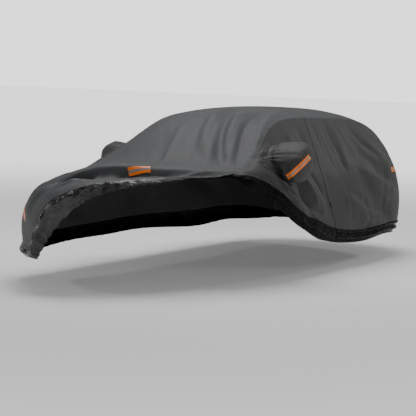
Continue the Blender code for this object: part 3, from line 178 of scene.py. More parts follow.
# ---------------------------------------------------------------- folds
# The folds are grouped by their panel and by the share of its height that a fold keeps at its
# two ends.  A fold's path runs through places on the panel: a run, a place across (or a drop)
# and the fold's height there, above 0 for a ridge and below 0 for a trough.  Its two widths
# are on the left and the right of the path, seen from outside.
FOLD_COLUMNS = ("left_width", "right_width", "path")
FOLDS = (
    ("centre", 1.0, (
        # the crest over the bonnet part, where the windscreen part turns down steeply
        (0.30, 0.052, ((0.60, -0.74, 0.025), (0.78, -0.60, 0.045), (0.92, -0.40, 0.070),
                       (1.03, -0.20, 0.088), (1.11, 0.05, 0.090), (1.22, 0.36, 0.066),
                       (1.36, 0.60, 0.050), (1.50, 0.86, 0.036), (1.57, 1.00, 0.024))),
    )),
    ("centre", 0.2, (
        # the dark tuck under its right half, and the lip below that
        (0.045, 0.045, ((0.72, -0.70, -0.020), (0.84, -0.40, -0.045), (0.95, -0.12, -0.030))),
        (0.045, 0.060, ((0.66, -0.62, 0.020), (0.74, -0.35, 0.030), (0.84, -0.08, 0.016))),
        (0.050, 0.050, ((0.97, 0.30, 0.012), (1.17, 0.62, 0.018), (1.40, 0.92, 0.012))),
        # the trough in front of the crest, down to the turned-back edge
        (0.075, 0.075, ((0.98, 0.02, -0.020), (1.09, 0.28, -0.038), (1.22, 0.54, -0.040),
                        (1.36, 0.80, -0.030), (1.46, 0.96, -0.016))),
        # pulls on the windscreen part, from the roof down to the left mirror pocket
        (0.070, 0.050, ((3.00, -0.22, 0.012), (2.40, 0.16, 0.018), (1.76, 0.56, 0.014))),
        (0.045, 0.070, ((3.13, -0.03, -0.020), (2.44, 0.37, -0.034), (1.70, 0.74, -0.026))),
        (0.060, 0.045, ((2.80, 0.36, 0.018), (2.35, 0.56, 0.026), (1.74, 0.79, 0.020))),
        (0.045, 0.065, ((2.99, 0.58, -0.022), (2.40, 0.74, -0.034), (1.78, 0.87, -0.024))),
        (0.060, 0.045, ((3.14, 0.72, 0.014), (2.50, 0.90, 0.022), (1.84, 0.97, 0.014))),
        (0.120, 0.120, ((2.60, -0.45, 0.010), (1.75, -0.72, 0.014))),
        # the turned-back nose
        (0.050, 0.060, ((0.36, -0.96, 0.014), (0.50, -0.84, 0.030), (0.70, -0.66, 0.016))),
        (0.050, 0.050, ((0.52, -0.97, -0.016), (0.72, -0.80, -0.026))),
    )),
    ("left", 0.2, (
        # ahead of the zip: layers under the mirror pocket, then the patch behind it
        (0.055, 0.040, ((2.08, 0.42, 0.018), (2.28, 0.53, 0.034), (2.42, 0.59, 0.024))),
        (0.040, 0.040, ((2.08, 0.48, -0.012), (2.26, 0.57, -0.022), (2.43, 0.63, -0.018))),
        (0.050, 0.040, ((2.03, 0.50, 0.016), (2.22, 0.61, 0.026), (2.41, 0.68, 0.020))),
        (0.045, 0.075, ((2.50, 0.42, -0.014), (2.54, 0.62, -0.040), (2.66, 0.78, -0.024))),
        (0.080, 0.080, ((2.66, 0.46, 0.012), (2.78, 0.66, 0.030), (2.95, 0.82, 0.018))),
        (0.070, 0.050, ((2.76, 0.05, 0.010), (2.66, 0.24, 0.018))),
        (0.050, 0.060, ((2.98, 0.06, -0.010), (2.88, 0.40, -0.018))),
        # behind the zip: pulls from the roof seam down to the tail's corner
        (0.070, 0.070, ((3.46, 0.04, -0.014), (3.34, 0.27, -0.018), (3.28, 0.52, -0.010))),
        (0.080, 0.070, ((3.66, 0.05, 0.014), (3.56, 0.30, 0.020), (3.54, 0.52, 0.012))),
        (0.080, 0.070, ((3.89, 0.10, -0.018), (3.93, 0.34, -0.030), (4.17, 0.52, -0.028),
                        (4.56, 0.63, -0.018))),
        (0.090, 0.080, ((4.14, 0.07, 0.016), (4.24, 0.32, 0.024), (4.62, 0.53, 0.018))),
        (0.070, 0.070, ((4.50, 0.07, -0.016), (4.58, 0.28, -0.020), (4.72, 0.42, -0.012))),
        (0.070, 0.060, ((3.76, 0.46, 0.022), (4.17, 0.61, 0.034), (4.66, 0.71, 0.024))),
        (0.080, 0.070, ((3.72, 0.58, -0.018), (4.07, 0.74, -0.034), (4.56, 0.88, -0.020))),
        (0.070, 0.070, ((4.52, 0.92, 0.016), (3.83, 0.84, 0.030), (3.36, 0.70, 0.018))),
    )),
    ("right", 0.2, (
        (0.100, 0.080, ((0.90, 0.30, 0.016), (1.30, 0.52, 0.030), (1.80, 0.80, 0.020))),
        (0.080, 0.080, ((1.20, 0.16, -0.014), (1.70, 0.34, -0.024), (2.05, 0.44, -0.014))),
        (0.090, 0.070, ((2.50, 0.44, 0.018), (2.62, 0.62, 0.030), (2.70, 0.84, 0.018))),
        (0.080, 0.100, ((2.80, 0.12, -0.016), (2.90, 0.42, -0.028), (3.10, 0.78, -0.016))),
        (0.100, 0.080, ((3.20, 0.06, 0.016), (3.50, 0.34, 0.030), (4.10, 0.62, 0.022))),
        (0.080, 0.090, ((3.70, 0.06, -0.018), (4.05, 0.32, -0.032), (4.75, 0.58, -0.020))),
        (0.100, 0.080, ((3.50, 0.56, 0.016), (4.10, 0.72, 0.028), (4.60, 0.86, 0.018))),
        (0.080, 0.080, ((4.40, 0.08, 0.014), (4.70, 0.36, 0.022), (5.00, 0.56, 0.012))),
    )),
    ("centre", 0.2, (
        # the tail
        (0.100, 0.100, ((4.75, -0.84, 0.012), (5.10, -0.55, 0.024), (5.60, -0.20, 0.014))),
        (0.100, 0.100, ((4.75, 0.84, 0.012), (5.15, 0.60, 0.024), (5.62, 0.30, 0.014))),
        (0.110, 0.110, ((4.60, -0.25, -0.010), (5.10, -0.12, -0.020), (5.62, 0.0, -0.012))),
    )),
)
FOLD_STEPS = 5                       # places read along each leg of a fold's path
FOLD_FADE = 0.10                     # length over which a fold rises at its ends
MOUTH_CALM = (0.16, 0.25)            # folds fade out between these distances of a mouth
GATHER_PITCH = 0.110                 # one gather of the hem band
GATHER_HEIGHT = 0.007
FRONT_BULGE = 0.026                  # how far the turned-back band stands out
LOW_BULGE = 0.010                    # how far the band stands out elsewhere
BULGE_SHARE = 0.20                   # but no more than this share of its width
BULGE_COLUMNS = 8                    # the panel's columns over which its bulge grows
HEM_TUCK = 0.030                     # how far the elastic draws the hem inwards
HEM_LIFT = 0.006                     # the turned-back hem above the form
TUCK_FROM = 2.80                     # the run where the left hem starts to draw in
TUCK_OVER = 0.80                     # and the length over which it does so
CORNER_FADE = 0.10                   # share of the front over which its hem lifts off

# ---------------------------------------------------------------- fitted pieces
# A pocket's mouth is an oval cut into the panel "on", on the form of "panel"; "side" is where
# it points along X, "depth" is how far it stands out and "back" how far its tip leans back.
POCKET_COLUMNS = ("name", "on", "panel", "side", "run", "drop", "half_run", "half_drop",
                  "depth", "back")
POCKETS = (
    ("left_mirror_pocket", "left_front_panel", "left", 1, 2.290, 0.280, 0.135, 0.155,
     0.285, 0.050),
    ("right_mirror_pocket", "right_panel", "right", -1, 2.290, 0.345, 0.120, 0.105,
     0.235, 0.100),
)
# Root to tip: how far out as a share of the depth, and the size as a share of the mouth's.
BAG_COLUMNS = ("share", "out", "wide", "tall")
BAG = (
    (0.000, -0.03, 1.00, 1.00),
    (0.125, 0.08, 1.00, 1.00),
    (0.250, 0.20, 1.10, 1.18),
    (0.450, 0.42, 1.20, 1.36),
    (0.620, 0.65, 1.20, 1.38),
    (0.780, 0.85, 1.06, 1.20),
    (0.900, 0.96, 0.76, 0.82),
    (1.000, 1.00, 0.00, 0.00),
)
MOUTH_SQUARE = 2.6                   # 2 is an oval, more is squarer
POCKET_SEGMENTS = 120
POCKET_RINGS = 48
CUTTER_REACH = 0.10                  # of a mouth's cutter, to each side of the cloth

# A strip lies on a panel, between two places and "clear" of the cloth.  It needs more
# clearance where the cloth under it is folded.
STRIP_COLUMNS = ("name", "on", "panel", "clear", "run_0", "side_0", "run_1", "side_1")
STRIPS = (
    ("front_strip", "centre_panel", "centre", 0.0055, 1.096, 0.150, 1.203, 0.350),
    ("corner_strip", "right_panel", "right", 0.0011, 0.556, 0.425, 0.800, 0.500),
    ("tail_strip", "left_rear_panel", "left", 0.0020, 4.600, 0.530, 4.900, 0.505),
)
# A strip on a pocket is let down onto it against the direction that it faces.
POCKET_STRIP_COLUMNS = ("name", "on", "clear", "from_place", "to_place", "facing")
POCKET_STRIPS = (
    ("left_mirror_strip", "left_mirror_pocket", 0.0016,
     (1.078, -0.378, 1.094), (0.956, -0.540, 0.916), (0.62, -0.78, 0.06)),
    ("right_mirror_strip", "right_mirror_pocket", 0.0016,
     (-1.058, -0.345, 1.026), (-0.966, -0.487, 0.907), (-0.80, -0.58, 0.05)),
)
POCKET_STRIP_START = 0.10            # it starts this far out, and is then let down
STRIP_START = 0.045                  # as every strip is, from this height
STRIP_WIDTH = 0.046
STRIP_CELLS = (64, 10)               # along and across

ZIP_TAPE_WIDTH = 0.009
ZIP_CHAIN_WIDTH = 0.006
ZIP_CHAIN_THICK = 0.0025
SLIDER_DROP = 0.77                   # the share of the zip above the slider
TOOTH_PITCH = 0.0036
TOOTH_SIZE = (0.0030, 0.0019, 0.0016)  # across, along and out of the chain
TOOTH_ASIDE = 0.4                    # of a tooth's width, from the chain's middle
TOOTH_OUT = 0.3                      # of its height, from the chain to its middle
SLIDER_SIZE = (0.013, 0.022, 0.005)  # across, along and out of the chain
PULL_SIZE = (0.009, 0.032, 0.002)
PULL_GAP = 0.0004
BLOCK_BEVEL = 0.3                    # of the slider's and the pull's thinnest side


# ---------------------------------------------------------------- sewn seams and wrinkles
SEAM_LINES = (0.003, 0.006, 0.009, 0.013, 0.020)  # rows of cells beside a seam
SEAM_CLEAR = 1.2                     # the even rows keep this share of the last line off it
STEP_LIMIT = 0.6                     # an edge steps in by no more of its row's cells
FOLD_LIMIT = 0.4                     # of the turn between two panels that a gap allows for
GROOVE_DEPTH = 0.0010                # of the seam's line
GROOVE_WIDTH = 0.0030
WELT_HEIGHT = 0.0018                 # of the folded edges under the cloth
WELT_AT = 0.0090
WELT_WIDTH = 0.0050
PUCKER_PITCH = 0.043                 # the thread draws the cloth in at about this pitch
PUCKER_HEIGHT = 0.0016
PUCKER_REACH = 0.030
PUCKER_WAVES = ((1.0, 1.0, 0.0), (0.6, 0.618, 1.0), (0.4, 1.73, 2.0))  # height, turn, start
STITCH_AT = 0.0065                   # the line of stitches, from the seam
STITCH_WIDTH = 0.0007
STITCH_PITCH = 0.0042
STITCH_SHARE = 0.68                  # of its pitch, which a stitch takes up
FOLD_REACH = 3.0                     # a fold is felt within this many of its widths
CREASE_FADE = 0.06                   # length over which a crease rises at its ends
CREASE_SHARPNESS = 0.8               # below 1 gives a crease a sharper top than a fold's
CREASES = (
    ("centre", 0.2, (
        # the dart beside the tuck on the bonnet part
        (0.016, 0.012, ((0.62, -0.42, 0.0096), (0.74, -0.30, 0.016), (0.86, -0.20, 0.0064))),
        # the turned-back cloth's face, under the crest
        (0.022, 0.016, ((0.80, -0.22, 0.009), (0.93, -0.16, 0.0135), (1.02, -0.10, 0.006))),
        (0.018, 0.024, ((0.88, 0.02, -0.0075), (1.02, 0.10, -0.012), (1.12, 0.16, -0.006))),
        (0.022, 0.016, ((0.96, 0.20, 0.009), (1.10, 0.30, 0.012), (1.20, 0.36, 0.006))),
        (0.020, 0.020, ((1.10, 0.40, -0.0075), (1.22, 0.50, -0.012), (1.34, 0.58, -0.006))),
        (0.018, 0.018, ((1.22, 0.60, 0.0075), (1.36, 0.72, 0.012), (1.46, 0.82, 0.006))),
        # the windscreen part, from the roof to the crest
        (0.040, 0.022, ((2.50, -0.30, 0.0057), (2.00, -0.05, 0.0114), (1.45, 0.18, 0.0076))),
        (0.022, 0.040, ((2.62, -0.05, -0.0057), (2.10, 0.22, -0.0133), (1.55, 0.44, -0.0095))),
        (0.036, 0.020, ((2.60, 0.24, 0.0076), (2.12, 0.44, 0.0152), (1.62, 0.62, 0.0114))),
        (0.020, 0.034, ((2.66, 0.48, -0.0076), (2.20, 0.64, -0.0152), (1.72, 0.76, -0.0114))),
        (0.030, 0.018, ((2.70, 0.66, 0.0076), (2.22, 0.80, 0.0171), (1.82, 0.88, 0.0095))),
        (0.018, 0.028, ((2.52, 0.84, -0.0076), (2.22, 0.90, -0.0133), (1.98, 0.95, -0.0076))),
    )),
    ("left", 0.2, (
        # small creases before the pocket and between it and the seam
        (0.014, 0.010, ((1.96, 0.08, 0.0076), (2.03, 0.14, 0.0152), (2.08, 0.20, 0.0076))),
        (0.010, 0.014, ((1.99, 0.05, -0.0076), (2.06, 0.11, -0.0152), (2.12, 0.16, -0.0057))),
        (0.014, 0.010, ((2.03, 0.03, 0.0076), (2.10, 0.08, 0.0133), (2.17, 0.12, 0.0057))),
        (0.012, 0.016, ((1.92, 0.16, -0.0057), (1.99, 0.22, -0.0133), (2.06, 0.27, -0.0076))),
        # under the pocket
        (0.020, 0.012, ((2.10, 0.45, 0.013), (2.28, 0.565, 0.026), (2.40, 0.62, 0.0156))),
        (0.012, 0.020, ((2.06, 0.52, -0.0104), (2.24, 0.64, -0.0234), (2.42, 0.72, -0.0104))),
        (0.018, 0.026, ((2.58, 0.34, 0.0104), (2.64, 0.52, 0.0234), (2.76, 0.70, 0.013))),
        (0.026, 0.018, ((2.70, 0.30, -0.0104), (2.80, 0.50, -0.0182), (2.92, 0.66, -0.0104))),
        (0.018, 0.018, ((2.62, 0.76, 0.0104), (2.72, 0.80, 0.0182), (2.84, 0.79, 0.0078))),
        (0.014, 0.018, ((2.66, 0.72, -0.0104), (2.78, 0.755, -0.0156), (2.90, 0.75, -0.0078))),
        # behind the zip: pulls down from the roof's seam
        (0.022, 0.034, ((3.30, 0.03, -0.008), (3.24, 0.20, -0.014), (3.18, 0.40, -0.006))),
        (0.034, 0.022, ((3.40, 0.03, 0.008), (3.34, 0.22, 0.014), (3.30, 0.44, 0.008))),
        (0.022, 0.034, ((3.56, 0.03, -0.008), (3.48, 0.24, -0.016), (3.46, 0.48, -0.008))),
        (0.034, 0.022, ((3.76, 0.03, 0.008), (3.72, 0.24, 0.014), (3.78, 0.42, 0.008))),
        (0.022, 0.034, ((3.98, 0.04, -0.008), (4.06, 0.26, -0.016), (4.34, 0.44, -0.01))),
        (0.034, 0.022, ((4.30, 0.03, 0.008), (4.42, 0.24, 0.016), (4.70, 0.40, 0.008))),
        (0.022, 0.034, ((4.62, 0.03, -0.008), (4.74, 0.24, -0.014), (4.94, 0.38, -0.006))),
        # and low down, fans and lines along the hem
        (0.024, 0.036, ((3.78, 0.48, -0.008), (4.14, 0.56, -0.016), (4.70, 0.62, -0.008))),
        (0.036, 0.024, ((3.77, 0.50, 0.008), (4.05, 0.66, 0.016), (4.50, 0.78, 0.008))),
        (0.024, 0.036, ((3.40, 0.64, -0.006), (3.80, 0.76, -0.016), (4.40, 0.86, -0.008))),
        (0.030, 0.018, ((3.30, 0.80, 0.008), (3.80, 0.86, 0.014), (4.50, 0.88, 0.008))),
    )),
)
# A patch of wrinkles: its middle, how far it reaches along X, Y and Z, the direction the
# wrinkles run in, their length, their width and their height.
WRINKLE_COLUMNS = ("middle", "reach", "along", "long", "wide", "height")
WRINKLE_RIDGE = 0.45                 # 1 gives sharp ridges, 0 gives soft waves
WRINKLES = (
    ((0.00, -1.75, 0.80), (1.1, 0.75, 0.6), (0.75, 0.45, -0.5), 0.22, 0.065, 0.0045),
    ((0.00, -1.75, 0.80), (1.1, 0.75, 0.6), (0.40, 0.90, -0.1), 0.09, 0.034, 0.0022),
    ((0.10, -0.75, 1.15), (0.9, 0.70, 0.5), (0.60, -0.75, -0.3), 0.60, 0.080, 0.0062),
    ((0.00, 0.55, 1.43), (0.8, 1.10, 0.4), (0.25, 1.00, 0.0), 0.90, 0.160, 0.0025),
    ((0.85, -0.55, 0.75), (0.5, 0.65, 0.5), (0.10, 0.70, -0.7), 0.16, 0.045, 0.0080),
    ((0.85, -0.70, 1.02), (0.4, 0.28, 0.25), (0.30, 0.80, -0.5), 0.08, 0.028, 0.0055),
    ((0.95, 1.00, 0.70), (0.6, 1.10, 0.9), (0.05, 0.30, -1.0), 0.55, 0.075, 0.0075),
    ((0.95, 0.95, 0.30), (0.6, 1.20, 0.4), (0.00, 1.00, -0.15), 0.40, 0.060, 0.0060),
    ((-0.95, -1.25, 0.60), (0.6, 0.80, 0.7), (0.10, 0.70, -0.7), 0.30, 0.070, 0.0045),
    ((-0.95, 0.60, 0.70), (0.6, 1.50, 0.9), (0.05, 0.35, -1.0), 0.50, 0.085, 0.0042),
    ((0.00, 2.10, 0.70), (1.1, 0.50, 0.9), (0.80, 0.00, -0.6), 0.35, 0.080, 0.0045),
    ((0.00, 1.70, 1.25), (0.9, 0.60, 0.4), (0.30, 0.90, -0.4), 0.45, 0.100, 0.0035),
)

# ---------------------------------------------------------------- band, pocket and zip folds
FINE_GATHER = (0.034, 0.45, 0.0110)  # length of one along the band, slant, height
GATHER_START = 0.25                  # the share of its height at the panel's edge
GATHER_BEND = 0.8                    # how much it wanders on its way down the band
CRUMPLE = (0.110, 0.0340)            # size and height of the crumples on the nose's band
CRUMPLE_FROM = (0.040, 0.110)        # they grow between these widths of the band
CRUMPLE_CROSS = 1.4                  # how much closer they lie across the band
CRUMPLE_SPREAD = 1.1                 # they flatten out a little before the hem
CRUMPLE_SEED = 7
CASING_AT = 0.012                    # the elastic's casing, from the hem
CASING_WIDTH = 0.007
CASING_HEIGHT = 0.004
CASING_ROOT = 0.20                   # it fades out in this share by the panel's edge
BAND_ROOT = 0.15                     # and the folds in this one
BAND_END = 0.05                      # as they do over this length at the band's ends
ROLLED_FROM = 1.65                   # the run where the band starts to be rolled up
ROLLED_OVER = 0.25                   # and the length over which it does so
LAYERS = 2.0                         # folds along the band where it is rolled up
LAYER_HEIGHT = 0.011
GATHERED = (-0.10, 0.55)             # the nose's gathers fade between these shares across
SMOOTH_BAND = 0.12                   # what is left of them beyond
BAG_PLEATS = 17                      # round a pocket's root
PLEAT_HEIGHT = 0.040                 # as shares of the pocket's size
PLEAT_REACH = 0.38
PLEAT_START = 0.10
SAG_HEIGHT = 0.050
SAG_SIZE = (1.1, 3.2)                # of the sags: round the pocket and towards its tip
SAG_FADE = (0.30, 0.15)              # they fade out in these shares at its root and its tip

POCKET_ROUND = 0.15                  # a pocket's radius, about
SHINE_SHADED_FROM = (-2.25, -1.80)          # painted shade: the band's shine falls away between these places along Y
BAND_SHINE_PAINTED = (0.8, 0.03)             # ahead of them, for painted highlights on the nose, and behind them
CLOTH_WEAVE = 0.0011                 # pitch of the weave of the panels and pockets
STRIP_WEAVE = 0.0016
STRIP_MIDDLE = 0.013                 # the grey line along a strip
RIM_ANGLE = math.radians(50)         # a cloth's rim is sharper than this
THREAD = (0.16, 0.16, 0.165)

# ---------------------------------------------------------------- studio
FLOOR_HALF = 40.0
FLOOR_COLOUR = (0.85, 0.85, 0.85)
FLOOR_GLOW = (0.15, 1.50)            # near the cover, and far from it
GLOW_FROM = (3.0, 14.0)              # the glow grows between these distances
WORLD_LIGHT = 0.16                   # what the surroundings give the cloth
WORLD_SEEN = 1.9                     # and how bright they look behind it
# Name, place, what it shines at, size and power.
LAMPS = (
    ("overhead", (-0.6, 0.2, 4.6), (0.0, 0.2, 0.0), (3.0, 5.0), 320.0),
    ("front_left", (6.5, -4.0, 3.2), (0.3, -0.6, -0.4), (2.0, 1.2), 45.0),
    ("rear_left", (4.2, 8.0, 3.0), (1.0, 0.6, -0.5), (1.4, 1.0), 130.0),
    ("front_right", (-6.0, -3.6, 1.4), (-0.5, -2.2, -0.6), (0.6, 0.4), 60.0),
)
SENSOR = 36.0                        # millimetres
CAMERA = {"place": (7.96853653, -12.69355726, 2.06166244), "yaw": 32.7537,
          "pitch": -5.8497, "roll": 1.2443, "focal_px": 1639.297, "photo_px": 416}


# ---------------------------------------------------------------- tables and curves
def named_rows(table, columns):
    """The rows of a table, each with its values by the names of the columns."""
    return [dict(zip(columns, row)) for row in table]


def named_columns(table, columns):
    """The columns of a table of numbers, by their names."""
    return dict(zip(columns, np.array(table, float).T))


def smooth_curve(knots, values):
    """A natural cubic curve through one row of values at each knot."""
    knots = np.asarray(knots, float)
    values = np.asarray(values, float)
    count = len(knots)
    gap = np.diff(knots)
    matrix = np.eye(count)
    right = np.zeros(values.shape)
    for i in range(1, count - 1):
        matrix[i, i - 1:i + 2] = gap[i - 1], 2 * (gap[i - 1] + gap[i]), gap[i]
        rise = (values[i + 1] - values[i]) / gap[i]
        right[i] = 6 * (rise - (values[i] - values[i - 1]) / gap[i - 1])
    bend = np.linalg.solve(matrix, right)

    def at(where):
        where = np.asarray(where, float)
        cell = np.clip(np.searchsorted(knots, where) - 1, 0, count - 2)
        size = gap[cell][..., None]
        low = (knots[cell + 1] - where)[..., None] / size
        high = 1 - low
        line = low * values[cell] + high * values[cell + 1]
        curl = (low ** 3 - low) * bend[cell] + (high ** 3 - high) * bend[cell + 1]
        return line + curl * size ** 2 / 6

    return at


def edge_curve(knots, values):
    """A curve through the values that never overshoots them."""
    knots = np.asarray(knots, float)
    values = np.asarray(values, float)
    gap = np.diff(knots)
    rise = np.diff(values) / gap
    slope = np.concatenate([rise[:1], (rise[:-1] + rise[1:]) / 2, rise[-1:]])
    flat = rise[:-1] * rise[1:] <= 0
    slope[1:-1][flat] = 0
    limit = 3 * np.minimum(np.abs(rise[:-1]), np.abs(rise[1:]))
    slope[1:-1] = np.clip(slope[1:-1], -limit, limit)

    def at(where):
        where = np.clip(np.asarray(where, float), knots[0], knots[-1])
        cell = np.clip(np.searchsorted(knots, where) - 1, 0, len(gap) - 1)
        part = (where - knots[cell]) / gap[cell]
        first = values[cell] * (1 + 2 * part) * (1 - part) ** 2
        last = values[cell + 1] * part ** 2 * (3 - 2 * part)
        turn = slope[cell] * (1 - part) ** 2 * part + slope[cell + 1] * (part - 1) * part ** 2
        return first + last + turn * gap[cell]

    return at


def split(values, parts):
    """Put more places on a line, or values in a row, and keep its straight stretches."""
    steps = np.arange(0, len(values) - 1 + 0.5 / parts, 1 / parts)
    index = np.arange(len(values))
    columns = [np.interp(steps, index, column) for column in np.atleast_2d(values.T)]
    return np.stack(columns, -1).reshape(len(steps), *values.shape[1:])


def lengths_along(line):
    """Each place's distance along its line, and its distance from the line's nearer end."""
    steps = np.linalg.norm(np.diff(line, axis=0), axis=1)
    length = np.concatenate([[0], np.cumsum(steps)])
    return length, np.minimum(length, length[-1] - length)


def unit(vectors):
    return vectors / np.linalg.norm(vectors, axis=-1, keepdims=True)


def ease(x):
    """0 to 1 with flat ends."""
    x = np.clip(x, 0, 1)
    return x * x * (3 - 2 * x)


# ---------------------------------------------------------------- the base form
SECTION_NAMES = [row[0] for row in SECTIONS]
SECTION_VALUES = np.array([row[1:] for row in SECTIONS])
RUNS = np.concatenate([[0], np.cumsum(np.hypot(*np.diff(SECTION_VALUES[:, :2], axis=0).T))])
RUN_OF = dict(zip(SECTION_NAMES, RUNS))
NOSE_CORNER = RUN_OF["nose_top"]
TAIL_CORNER = RUN_OF["tail_top"]
RUN_END = RUNS[-1]
SECTION_AT = smooth_curve(RUNS, SECTION_VALUES)


def seam_point(run):
    return SECTION_AT(run)[..., 2:5]


def centre_form(run, across):
    """The centre panel before folding."""
    mid_y, mid_z, seam_x, seam_y, seam_z = np.moveaxis(SECTION_AT(run), -1, 0)
    out = np.abs(across)
    y = mid_y + (seam_y - mid_y) * out ** SETBACK_POWER
    z = mid_z + (seam_z - mid_z) * out ** CROWN_POWER
    return np.stack([seam_x * across, y, z], -1)


def end_column(corner, end):
    """Belt, waist and hem where a side meets the nose's or the tail's seam."""
    drops = np.array(RING_AT)
    return seam_point(corner + (end - corner) * drops)


def side_cage():
    """Seam, belt, waist and hem at each section of the left side."""
    rows = [end_column(NOSE_CORNER, 0.0)]
    for row in SIDES:
        top = seam_point(RUN_OF[row[0]])
        rows.append(np.concatenate([top[None], np.array(row[1:]).reshape(3, 3)]))
    rows.append(end_column(TAIL_CORNER, RUN_END))
    runs = [NOSE_CORNER] + [RUN_OF[row[0]] for row in SIDES] + [TAIL_CORNER]
    return np.array(runs), np.array(rows)


CAGE_RUNS, CAGE = side_cage()
RING_CURVE = smooth_curve(CAGE_RUNS, CAGE.reshape(len(CAGE), -1))
DROP_BASIS = smooth_curve(RING_AT, np.eye(len(RING_AT)))


def loft(run, drop):
    rings = RING_CURVE(run).reshape(np.shape(run) + (len(RING_AT), 3))
    return np.einsum("...k,...kc->...c", DROP_BASIS(drop), rings)


def side_form(run, drop):
    """The left side before folding; its ends follow the nose's and the tail's seam."""
    run, drop = np.broadcast_arrays(np.asarray(run, float), np.asarray(drop, float))
    share = (run - NOSE_CORNER) / (TAIL_CORNER - NOSE_CORNER)
    front = np.clip(1 - share / CORNER_REACH, 0, 1)[..., None] ** 2
    rear = np.clip(1 - (1 - share) / CORNER_REACH, 0, 1)[..., None] ** 2
    nose = seam_point(NOSE_CORNER * (1 - drop)) - loft(np.full(run.shape, NOSE_CORNER), drop)
    tail_run = TAIL_CORNER + (RUN_END - TAIL_CORNER) * drop
    tail = seam_point(tail_run) - loft(np.full(run.shape, TAIL_CORNER), drop)
    top = (seam_point(run) - loft(run, np.zeros(run.shape))) * (1 - drop[..., None]) ** 2
    return loft(run, drop) + top + nose * front + tail * rear


def slope_normal(form, run, side):
    """The outward direction of a form."""
    step = 1e-3
    along = form(run + step, side) - form(run - step, side)
    down = form(run, side + step) - form(run, side - step)
    return unit(np.cross(down, along))


def seam_normal(run):
    """The direction that the two panels share on their seam."""
    side_run = np.clip(run, NOSE_CORNER, TAIL_CORNER)
    nose_drop = (NOSE_CORNER - run) / NOSE_CORNER
    tail_drop = (run - TAIL_CORNER) / (RUN_END - TAIL_CORNER)
    drop = np.maximum(np.maximum(nose_drop, tail_drop), 0)
    centre = slope_normal(centre_form, run, np.ones(np.shape(run)))
    return unit(centre + slope_normal(side_form, side_run, drop))


def near_seam(distance):
    """1 on a seam, falling to 0 at the distance where the panel no longer feels it."""
    return 1 - ease(distance / SEAM_BLEND)


def base(panel, run, side):
    """Place and outward direction on the form, for the panel named."""
    run, side = np.broadcast_arrays(np.asarray(run, float), np.asarray(side, float))
    mirror = np.array([-1.0 if panel == "right" else 1.0, 1.0, 1.0])
    if panel == "centre":
        place = centre_form(run, side)
        out = slope_normal(centre_form, run, side)
        seam = seam_normal(run)
        blend = near_seam(seam_point(run)[..., 0] - np.abs(place[..., 0]))
        seam[..., 0] *= np.sign(side)
    else:
        place = side_form(run, side)
        out = slope_normal(side_form, run, side)
        nose = near_seam(run - NOSE_CORNER)
        tail = near_seam(TAIL_CORNER - run)
        seam = seam_normal(run + side * ((RUN_END - TAIL_CORNER) * tail - NOSE_CORNER * nose))
        blend = np.maximum(np.maximum(nose, tail), near_seam(side * SIDE_DEPTH))
    out = unit(out + (seam - out) * blend[..., None])
    return place * mirror - np.array(HANG_POINT), out * mirror


# ---------------------------------------------------------------- folds on the form
FRONT = named_columns(FRONT_EDGE, FRONT_EDGE_COLUMNS)
LEFT = named_columns(LEFT_EDGE, LEFT_EDGE_COLUMNS)
RIGHT = named_columns(RIGHT_EDGE, RIGHT_EDGE_COLUMNS)
front_panel_run = edge_curve(FRONT["across"], FRONT["panel_run"])
front_hem_across = edge_curve(FRONT["across"], FRONT["hem_across"])
front_hem_run = edge_curve(FRONT["across"], FRONT["hem_run"])
left_panel_drop = edge_curve(LEFT["run"], LEFT["panel_drop"])
left_hem_run = edge_curve(LEFT["run"], LEFT["hem_run"])
left_hem_drop = edge_curve(LEFT["run"], LEFT["hem_drop"])
right_panel_drop = edge_curve(RIGHT["run"], RIGHT["panel_drop"])
zip_run = edge_curve(*named_columns(ZIP_LINE, ZIP_COLUMNS).values())


def turned_edge():
    """Places along the turned-back edge, outwards there, its rise and its roll's reach."""
    across = np.linspace(-1, 1, EDGE_PLACES[0])
    runs = np.linspace(LEFT["run"][0], EDGE_END, EDGE_PLACES[1])
    front = base("centre", front_panel_run(across), across)
    left = base("left", runs, left_panel_drop(runs))
    rise = [edge_curve(FRONT["across"], FRONT["rise"])(across),
            edge_curve(LEFT["run"], LEFT["rise"])(runs)]
    reach = [edge_curve(FRONT["across"], FRONT["reach"])(across),
             edge_curve(LEFT["run"], LEFT["reach"])(runs)]
    places, out = (np.concatenate(pair) for pair in zip(front, left))
    return places, out, np.concatenate(rise), np.concatenate(reach)


def near_line(points, line, line_out):
    """Distance to a line of places, the nearest place on it (as an index), and the side.

    The side is 1 on the left of the line and -1 on its right, seen from outside, and in
    between past its ends.
    """
    best = np.full(len(points), np.inf)
    where = np.zeros(len(points))
    side = np.zeros(len(points))
    for i in range(len(line) - 1):
        step = line[i + 1] - line[i]
        part = np.clip((points - line[i]) @ step / (step @ step), 0, 1)
        away = points - line[i] - part[:, None] * step
        gap = np.linalg.norm(away, axis=1)
        closer = gap < best
        best[closer] = gap[closer]
        where[closer] = i + part[closer]
        turn = np.cross(step / np.linalg.norm(step), away) @ line_out[i]
        side[closer] = (turn / np.maximum(gap, 1e-9))[closer]
    return best, where, side


EDGE_LINE, EDGE_OUT, EDGE_RISE, EDGE_REACH = turned_edge()


def roll_height(points):
    """The soft roll that stands behind the turned-back edge."""
    gap, where = near_line(points, EDGE_LINE, EDGE_OUT)[:2]
    index = np.arange(len(EDGE_LINE))
    rise = np.interp(where, index, EDGE_RISE)
    reach = np.interp(where, index, EDGE_REACH)
    share = np.clip(gap / reach, 0, 1)
    return rise * (1 - share ** 2) ** 2


def fold_lines(table, fade_length):
    """Each fold's path as places on the form, with its height at each."""
    lines = []
    for panel, at_ends, folds in table:
        for fold in named_rows(folds, FOLD_COLUMNS):
            run, side, height = split(np.array(fold["path"]), FOLD_STEPS).T
            line, out = base(panel, run, side)
            fade = at_ends + (1 - at_ends) * ease(lengths_along(line)[1] / fade_length)
            lines.append((fold, line, out, height * fade))
    return lines


